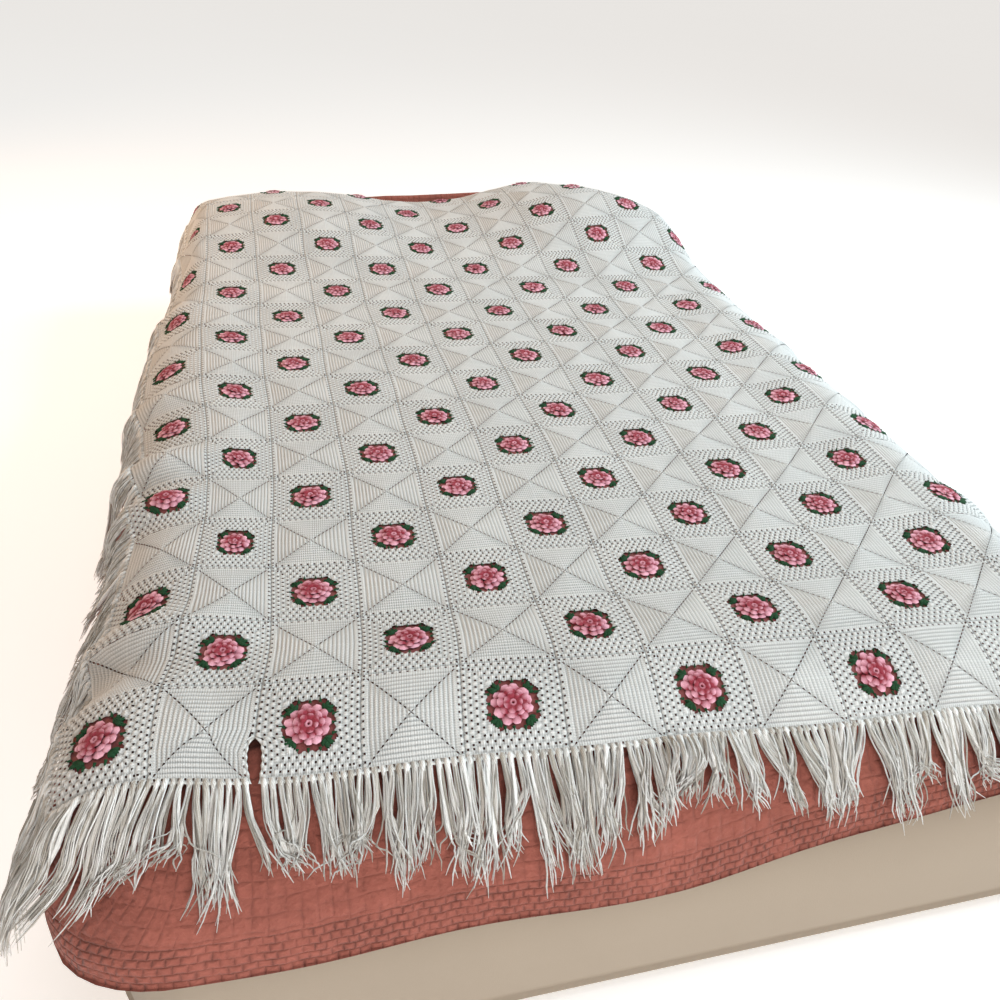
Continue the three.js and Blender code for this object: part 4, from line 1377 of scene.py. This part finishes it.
def leaf_lobes(centre_u, centre_v, square, rng):
    """Lobes of the four leaves round each rose, which fan out from the leaf's root: a lobe's half width
    follows a sine, its crest is a squared cosine across, and its tip is a point."""
    count = len(centre_u)
    across, along = petal_grid(3, 4)
    turns, lengths = (np.array(column)[:, None, None] for column in zip(*LEAF_LOBES))
    corner = (np.pi / 4 + np.arange(4) * np.pi / 2)[:, None, None, None]
    shape = (count, 4, len(LEAF_LOBES), 1, 1)
    heading = corner + np.radians(turns) + rng.normal(0, LEAF_SPREAD, shape)
    forward = along * lengths * (1 + rng.normal(0, LEAF_SPREAD, shape))
    sideways = across * LEAF_HALF_WIDTH * np.sin(np.pi * (0.16 + 0.82 * along)) ** 0.8
    u = np.cos(corner) * LEAF_ROOT + np.cos(heading) * forward - np.sin(heading) * sideways
    v = np.sin(corner) * LEAF_ROOT + np.sin(heading) * forward + np.cos(heading) * sideways
    crest = np.cos(across * np.pi / 2) ** 2
    height = LEAF_LIFT + LEAF_CREST * crest * np.sin(np.pi * (0.25 + 0.70 * along)) + 0 * heading
    u = centre_u[:, None, None, None, None] + u
    v = centre_v[:, None, None, None, None] + v
    points = drape(u, v, height, square).reshape(-1, 3)
    faces = repeated(grid_quads(*along.shape)[:, ::-1], along.size, count * 4 * len(LEAF_LOBES))
    return points, faces


def leaf_spikes(centre_u, centre_v, square, rng):
    """Short green stitches between the leaves that poke into the white: a ridge that narrows to its
    tip."""
    count = len(centre_u)
    across, along = petal_grid(3, 3)
    runs = np.array(SPIKE_RUNS)[:, None, None]
    shape = (count, 4, len(SPIKE_RUNS), 1, 1)
    out = SPIKE_ROOT + along * rng.uniform(*SPIKE_LENGTHS, shape)
    run = runs + across * SPIKE_HALF_WIDTH * (1 - 0.8 * along) + rng.normal(0, SPIKE_STRAY, shape)
    turn = (np.arange(4) * np.pi / 2)[:, None, None, None]
    u = centre_u[:, None, None, None, None] + np.cos(turn) * run + np.sin(turn) * out
    v = centre_v[:, None, None, None, None] + np.sin(turn) * run - np.cos(turn) * out
    height = SPIKE_LIFT + SPIKE_CREST * (1 - across**2) + SPIKE_CLIMB * along + 0 * u
    points = drape(u, v, height, square).reshape(-1, 3)
    faces = repeated(grid_quads(*along.shape)[:, ::-1], along.size, count * 4 * len(SPIKE_RUNS))
    return points, faces


class AFGHAN_OT_leaves(bpy.types.Operator):
    """Makes the green leaves and stitches round every rose"""

    bl_idname = "afghan.leaves"
    bl_label = "Leaves"

    def execute(self, context):
        square = context.scene.afghan_sizes.square
        centre_u, centre_v = square_centres(0, 0, ROWS, square)
        rng = np.random.default_rng(LEAVES_SEED)
        lobes, lobe_faces = leaf_lobes(centre_u, centre_v, square, rng)
        spikes, spike_faces = leaf_spikes(centre_u, centre_v, square, rng)
        points = np.concatenate([lobes, spikes])
        faces = np.concatenate([lobe_faces, spike_faces + len(lobes)])
        leaves = add_piece("leaves", points, [faces], leaf_finish(context.scene.afghan_colours))
        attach(leaves, "root")
        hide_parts("afghan")
        return {"FINISHED"}


def tubes(points, normals, radii, sides):
    """Tubes along paths. Each point gets a ring of corners in the plane across its path, first turned to
    the cloth's normal, with its own radius; rings are joined along the path and the ends are closed."""
    tangent = unit(np.gradient(points, axis=-2))
    sideways = unit(np.cross(tangent, normals))
    upward = np.cross(sideways, tangent)
    angles = np.arange(sides) * 2 * np.pi / sides
    ring = np.cos(angles)[:, None] * sideways[..., None, :] + np.sin(angles)[:, None] * upward[..., None, :]
    corners = points[..., None, :] + radii[..., None, None] * ring
    paths, steps = points.shape[:2]
    numbers = np.arange(steps * sides).reshape(steps, sides)
    walls = repeated(grid_quads(steps, sides, wrap=True)[:, ::-1], numbers.size, paths)
    ends = repeated(np.stack([numbers[0], numbers[-1, ::-1]]), numbers.size, paths)
    down = np.linspace(0, 1, steps)[:, None] + np.zeros(sides)
    round_it = np.abs(np.linspace(-1, 1, sides, endpoint=False))[None] + np.zeros((steps, 1))
    uv = np.tile(np.stack([round_it, down], axis=-1).reshape(-1, 2), (paths, 1))
    return corners.reshape(-1, 3), [walls, ends], uv


class AFGHAN_OT_edging(bpy.types.Operator):
    """Makes the chain of stitches round the cloth's edge and the undone seam"""

    bl_idname = "afghan.edging"
    bl_label = "Edging"

    def execute(self, context):
        sizes = context.scene.afghan_sizes
        square = sizes.square
        u, v = edging_path(square)
        beads = (np.arange(u.size) % 2)[None]
        beaded = (EDGING_LIFT, EDGING_THICKNESS, EDGING_SHADE_TONE)
        # Painted shade: the tone of the cast is low between beads, so the chain is darker there
        lift, thickness, cast = (between + added * beads for between, added in beaded)
        points = drape(u, v, CLOTH_BODY + sizes.puff * lift, square)
        normals = bed_normal(*lie(u, v, square))
        corners, faces, uv = tubes(points, normals, sizes.edging_radius * thickness, EDGING_SIDES)
        cast = np.repeat(cast.ravel(), EDGING_SIDES)
        finish = fringe_finish(context.scene.afghan_colours)
        edging = add_piece("edging", corners, faces, finish, uv=("strand", uv), attributes={"cast": cast})
        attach(edging, "root")
        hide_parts("afghan")
        return {"FINISHED"}


def edging_path(square):
    """Once round the cloth's edge from the middle of the head, in and out of the undone seam, with two
    points for each cluster."""
    half_u, half_v = COLUMNS * square / 2, ROWS * square / 2
    seam = open_seam(square)
    # Stops on the way, and the side of the seam that the stretch after each is on
    stops = (
        (0, half_v, -1),
        (-half_u, half_v, -1),
        (-half_u, -half_v, -1),
        (seam, -half_v, -1),
        (seam, OPEN_SEAM_LENGTH - half_v, 1),
        (seam, -half_v, 1),
        (half_u, -half_v, 1),
        (half_u, half_v, 1),
        (0, half_v, 1),
    )
    step = square / CLUSTERS_PER_SIDE / 2
    us, vs, sides = [], [], []
    for (u0, v0, side), (u1, v1, _) in zip(stops[:-1], stops[1:]):
        count = int(round(np.hypot(u1 - u0, v1 - v0) / step))
        t = np.arange(count) / count
        us.append(u0 + (u1 - u0) * t)
        vs.append(v0 + (v1 - v0) * t)
        sides.append(np.full(count, side))
    u, v, side = (np.append(np.concatenate(parts), parts[0][0]) for parts in (us, vs, sides))
    return part_seam(u, v, side, square)[None], v[None]


def fringe_side(edge, square):
    """Turns lengths along an edge and out from it into places on the cloth, for the foot, left and right
    edges."""
    half_u = COLUMNS * square / 2
    half_v = ROWS * square / 2
    if edge == "foot":
        return half_u, lambda run, out: (run, -half_v - out)
    if edge == "left":
        return half_v, lambda run, out: (-half_u - out, run)
    return half_v, lambda run, out: (half_u + out, run)


def in_clumps(locks, rng):
    """Number of the clump that each lock falls in: clumps of one to six locks side by side."""
    ends = np.cumsum(rng.integers(*CLUMP_LOCKS, locks))
    return np.searchsorted(ends, np.arange(locks), side="right")


def fringe_locks(edge, first, last, strands, steps, sizes, rng):
    """Fringe of one edge, as its yarns and the full core of each lock. Locks start in a knot at the
    edge's holes. Each is drawn towards the middle of its clump and leans with a slow wave along the edge;
    its yarns spread from the knot, waver, stray at the end or hook back in a loop, and settle on the
    quilt in a pile that is thicker in a heap."""
    square = sizes.square
    half, place = fringe_side(edge, square)
    pitch = square / CLUSTERS_PER_SIDE
    root = (np.arange(first, last) + 0.5) * pitch - half
    locks = len(root)
    clump = in_clumps(locks, rng)
    clumps = clump.max() + 1
    middle = (np.bincount(clump, root) / np.bincount(clump))[clump]
    share = np.clip(rng.normal(*CLUMP_LENGTH, clumps), *CLUMP_LENGTH_LIMITS)
    length = (sizes.fringe_length * share)[clump] * rng.uniform(*LOCK_LENGTH, locks)
    gather = rng.uniform(*CLUMP_GATHER, clumps)[clump]
    looped = (rng.uniform(0, 1, clumps) < CLUMP_LOOPED)[clump]
    lean = rng.normal(0, CLUMP_LEAN, clumps)[clump] + WAVE_LEAN * np.sin(root * 23 + 1.0)
    lean = lean + rng.normal(0, LOCK_LEAN, locks) - EDGE_LEAN[edge]
    low_reach, low_run, high_reach, high_run = SPLAY[edge]
    splay = high_reach * (1 - smoothstep(half - root, 0, high_run))
    splay = splay - low_reach * (1 - smoothstep(half + root, 0, low_run))
    heap = np.zeros(locks)
    if edge == "foot":
        for middle_square, width, rise, kept in HEAPS:
            near = bump(root + half - middle_square * square, width * square)
            heap = heap + rise * near
            length = length * (1 - (1 - kept) * near)
    sway = rng.normal(0, LOCK_SWAY, locks)
    swing = rng.uniform(0, 2 * np.pi, locks)
    root, middle, length, gather, looped, lean, splay, heap, sway, swing = (
        values[:, None, None]
        for values in (root, middle, length, gather, looped, lean, splay, heap, sway, swing)
    )

    def lay(t, seat, reach, waver, stray, pile):
        """Paths of some yarns at shares t of their length, with their place in the lock and their own
        lie."""
        at_knot, by_middle, at_end = LOCK_HALF_WIDTHS
        hook = looped * smoothstep(t, 0.62, 1.0)
        spread = seat * (at_knot + by_middle * smoothstep(t, 0.0, 0.6) + at_end * smoothstep(t, 0.75, 1.0))
        drawn = (middle - root) * gather * smoothstep(t, 0.10, 0.85)
        run = root + spread + waver + stray + drawn + lean * t**1.3 + splay * t**1.1
        run = run + hook * np.sign(seat) * LOOP_ASIDE + sway * t * np.sin(2 * np.pi * t + swing)
        out = length * reach * (t * (1 + LOOP_SLACK * hook) - LOOP_BACK * hook) - KNOT_INSET
        arch = YARN_ARCH * pile * np.sin(np.pi * np.minimum(t * 1.6, 1))
        settled = smoothstep(t, 0.0, 0.30) * (YARN_SETTLE - YARN_PILE * pile)
        mound = heap * np.sin(np.pi * np.minimum(t * 1.25, 1)) * (0.35 + 0.65 * pile)
        lift = KNOT_LIFT + arch - settled + mound + LOOP_LIFT * hook
        return *place(run, out), lift

    shape = (locks, strands, 1)
    t = np.linspace(0, 1, steps)
    seat = rng.uniform(-1, 1, shape)
    phase = rng.uniform(0, 2 * np.pi, shape)
    waver = rng.normal(0, YARN_WAVER, shape)
    waver = waver * np.sin(2 * np.pi * t * rng.uniform(*YARN_WAVER_TURNS, shape) + 6 * seat)
    kink = rng.uniform(*YARN_KINK, shape) * np.sqrt(t)
    waver = waver + kink * np.sin(2 * np.pi * t * rng.uniform(*YARN_KINK_TURNS, shape) + phase)
    stray = rng.normal(0, 1, shape) * np.abs(rng.normal(0, 1, shape)) * YARN_STRAY * t**3
    reach = np.clip(1 + rng.normal(*YARN_REACH, shape), *YARN_REACH_LIMITS)
    yarns = lay(t, seat, reach, waver * t, stray, rng.uniform(0, 1, shape))
    radius = sizes.yarn_radius * (1 - YARN_THINNING * t) * rng.uniform(*YARN_THICKNESS, shape)
    radius[..., -1] *= YARN_TIP

    # A lock's core is one thick yarn, knotted near its root
    core_t, core_radius = (np.array(row) for row in zip(*LOCK_CORE))
    single = (locks, 1, 1)
    cores = lay(core_t, np.zeros(single), CORE_REACH, 0.0, 0.0, rng.uniform(*CORE_PILE, single))
    core_radius = core_radius * rng.uniform(*CORE_THICKNESS, single)
    bundles = ((*yarns, radius, steps, YARN_SIDES), (*cores, core_radius, len(core_t), CORE_SIDES))
    return [
        [values.reshape(-1, count) for values in np.broadcast_arrays(*bundle)] + [sides]
        for *bundle, count, sides in bundles
    ]


class AFGHAN_OT_fringe(bpy.types.Operator):
    """Makes the knotted fringe on the left, foot and right edges"""

    bl_idname = "afghan.fringe"
    bl_label = "Fringe"

    def execute(self, context):
        sizes = context.scene.afghan_sizes
        square = sizes.square
        finish = fringe_finish(context.scene.afghan_colours)
        corner = OPEN_SEAM_COLUMN * CLUSTERS_PER_SIDE
        foot_end = COLUMNS * CLUSTERS_PER_SIDE
        side_end = ROWS * CLUSTERS_PER_SIDE
        # Node, edge, first and last lock, yarns in a lock, points along a yarn, seed
        runs = (
            ("fringe_left", "left", 0, side_end, 6, 8, 41),
            ("fringe_foot_corner", "foot", 0, corner, 7, 12, 43),
            ("fringe_foot", "foot", corner, foot_end, 7, 12, 47),
            ("fringe_right", "right", 0, side_end, 5, 6, 53),
        )
        for node, edge, first, last, strands, steps, seed in runs:
            rng = np.random.default_rng(seed)
            parts = []
            for u, v, lift, radius, sides in fringe_locks(edge, first, last, strands, steps, sizes, rng):
                side = np.sign(u[:, :1] - open_seam(square))
                points = drape(part_seam(u, v, side, square), v, lift, square)
                corners, faces, uv = tubes(points, bed_normal(*lie(u, v, square)), radius, sides)
                cast = np.repeat(rng.uniform(0, 1, len(points)), points.shape[1] * sides)
                parts.append((corners, faces, uv, cast))
            faces = parts[0][1] + [rows + len(parts[0][0]) for rows in parts[1][1]]
            points, uv, cast = (np.concatenate([part[i] for part in parts]) for i in (0, 2, 3))
            fringe = add_piece(
                f"{node}_yarn", points, faces, finish, uv=("strand", uv), attributes={"cast": cast}
            )
            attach(fringe, "root")
            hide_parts(node)
        return {"FINISHED"}


class AFGHAN_OT_stage(bpy.types.Operator):
    """Sets the floor, the soft light and the photograph's camera"""

    bl_idname = "afghan.stage"
    bl_label = "Stage"

    def execute(self, context):
        colours = context.scene.afghan_colours
        lines = np.linspace(-FLOOR_REACH, FLOOR_REACH, FLOOR_LINES)
        across, along = np.meshgrid(lines, lines)
        points = np.stack([across, along, np.full_like(across, -FLOOR_DROP)], axis=-1)
        floor = add_piece("floor", points, [grid_quads(FLOOR_LINES, FLOOR_LINES)], floor_finish(colours))
        for light in LIGHTS:
            add_light(*light)
        add_sun("ceiling", CEILING_STRENGTH, CEILING_SPREAD)
        context.scene.world = add_backdrop(BACKDROP_COLOUR, BACKDROP_STRENGTH, BACKDROP_SHOWN)
        context.scene.view_settings.view_transform = "Standard"
        add_camera(context.scene)
        return {"FINISHED"}


def add_light(name, place, target, size, watts, colour):
    """A square soft light at a place, turned to a target."""
    lamp = bpy.data.lights.new(name, "AREA")
    lamp.size = size
    lamp.energy = watts
    lamp.color = colour
    light = bpy.data.objects.new(name, lamp)
    away = unit(np.array(place) - np.array(target))
    right = unit(np.cross([0, 0, 1], away))
    light.matrix_world = pose(right, np.cross(away, right), away, place)
    bpy.context.scene.collection.objects.link(light)


def add_backdrop(colour, strength, shown):
    """A world that lights the scene by one strength and shows behind the floor with another."""
    world = bpy.data.worlds.new("studio")
    world.use_nodes = True
    wire = Wire(world.node_tree)
    lit = wire.node("ShaderNodeBackground", inputs={"Color": colour, "Strength": strength})
    seen = wire.node("ShaderNodeBackground", inputs={"Color": (1, 1, 1, 1), "Strength": shown})
    straight = wire.node("ShaderNodeLightPath", output="Is Camera Ray")
    either = wire.node("ShaderNodeMixShader", inputs={0: straight, 1: lit, 2: seen})
    feed(wire, either, world.node_tree.nodes["World Output"].inputs["Surface"])
    return world


def add_sun(name, strength, spread):
    """An even light straight down, as soft as its spread in degrees."""
    lamp = bpy.data.lights.new(name, "SUN")
    lamp.energy = strength
    lamp.angle = np.radians(spread)
    light = bpy.data.objects.new(name, lamp)
    light.location = (0, 0, 4)
    bpy.context.scene.collection.objects.link(light)


def pose(right, up, back, place):
    """A four by four matrix from three axes and a place."""
    columns = np.eye(4)
    columns[:3, :4] = np.stack([right, up, back, place], axis=-1)
    return Matrix(columns.tolist())


def add_camera(scene):
    """The photograph's camera: its axes and place, and a lens for its field of view."""
    camera = bpy.data.cameras.new("camera")
    camera.sensor_width = SENSOR
    camera.sensor_fit = "HORIZONTAL"
    camera.lens = CAMERA_FOCAL * SENSOR
    camera.shift_y = CAMERA_SHIFT
    camera.clip_end = CAMERA_SEES
    viewer = bpy.data.objects.new("camera", camera)
    place = BED_MIDDLE + np.array(CAMERA_PLACE) + np.array([0, 0, BED_TOP])
    down, forward = np.array(CAMERA_DOWN), np.array(CAMERA_FORWARD)
    viewer.matrix_world = pose(np.array(CAMERA_RIGHT), -down, -forward, place)
    scene.collection.objects.link(viewer)
    scene.camera = viewer


class AFGHAN_PT_panel(bpy.types.Panel):
    """Lists the afghan's pieces in the sidebar"""

    bl_idname = "AFGHAN_PT_panel"
    bl_label = "Afghan"
    bl_space_type = "VIEW_3D"
    bl_region_type = "UI"
    bl_category = "Afghan"

    def draw(self, context):
        layout = self.layout
        for group in (context.scene.afghan_sizes, context.scene.afghan_colours):
            for key in group.__annotations__:
                layout.prop(group, key)
        for operator in OPERATORS:
            layout.operator(operator.bl_idname)


OPERATORS = (
    AFGHAN_OT_bed,
    AFGHAN_OT_roses,
    AFGHAN_OT_leaves,
    AFGHAN_OT_edging,
    AFGHAN_OT_fringe,
    AFGHAN_OT_squares,
    AFGHAN_OT_stage,
)
CLASSES = (AfghanSizes, AfghanColours, *OPERATORS, AFGHAN_PT_panel)


def register():
    """Registers the classes and the two groups of properties."""
    for kind in CLASSES:
        bpy.utils.register_class(kind)
    bpy.types.Scene.afghan_sizes = bpy.props.PointerProperty(type=AfghanSizes)
    bpy.types.Scene.afghan_colours = bpy.props.PointerProperty(type=AfghanColours)


def unregister():
    """Takes out what register put in."""
    del bpy.types.Scene.afghan_colours
    del bpy.types.Scene.afghan_sizes
    for kind in reversed(CLASSES):
        bpy.utils.unregister_class(kind)


def main():
    """Builds every piece and the stage."""
    register()
    bpy.ops.afghan.bed()
    bpy.ops.afghan.roses()
    bpy.ops.afghan.leaves()
    bpy.ops.afghan.edging()
    bpy.ops.afghan.fringe()
    bpy.ops.afghan.squares()
    bpy.ops.afghan.stage()


if __name__ == "__main__":
    main()
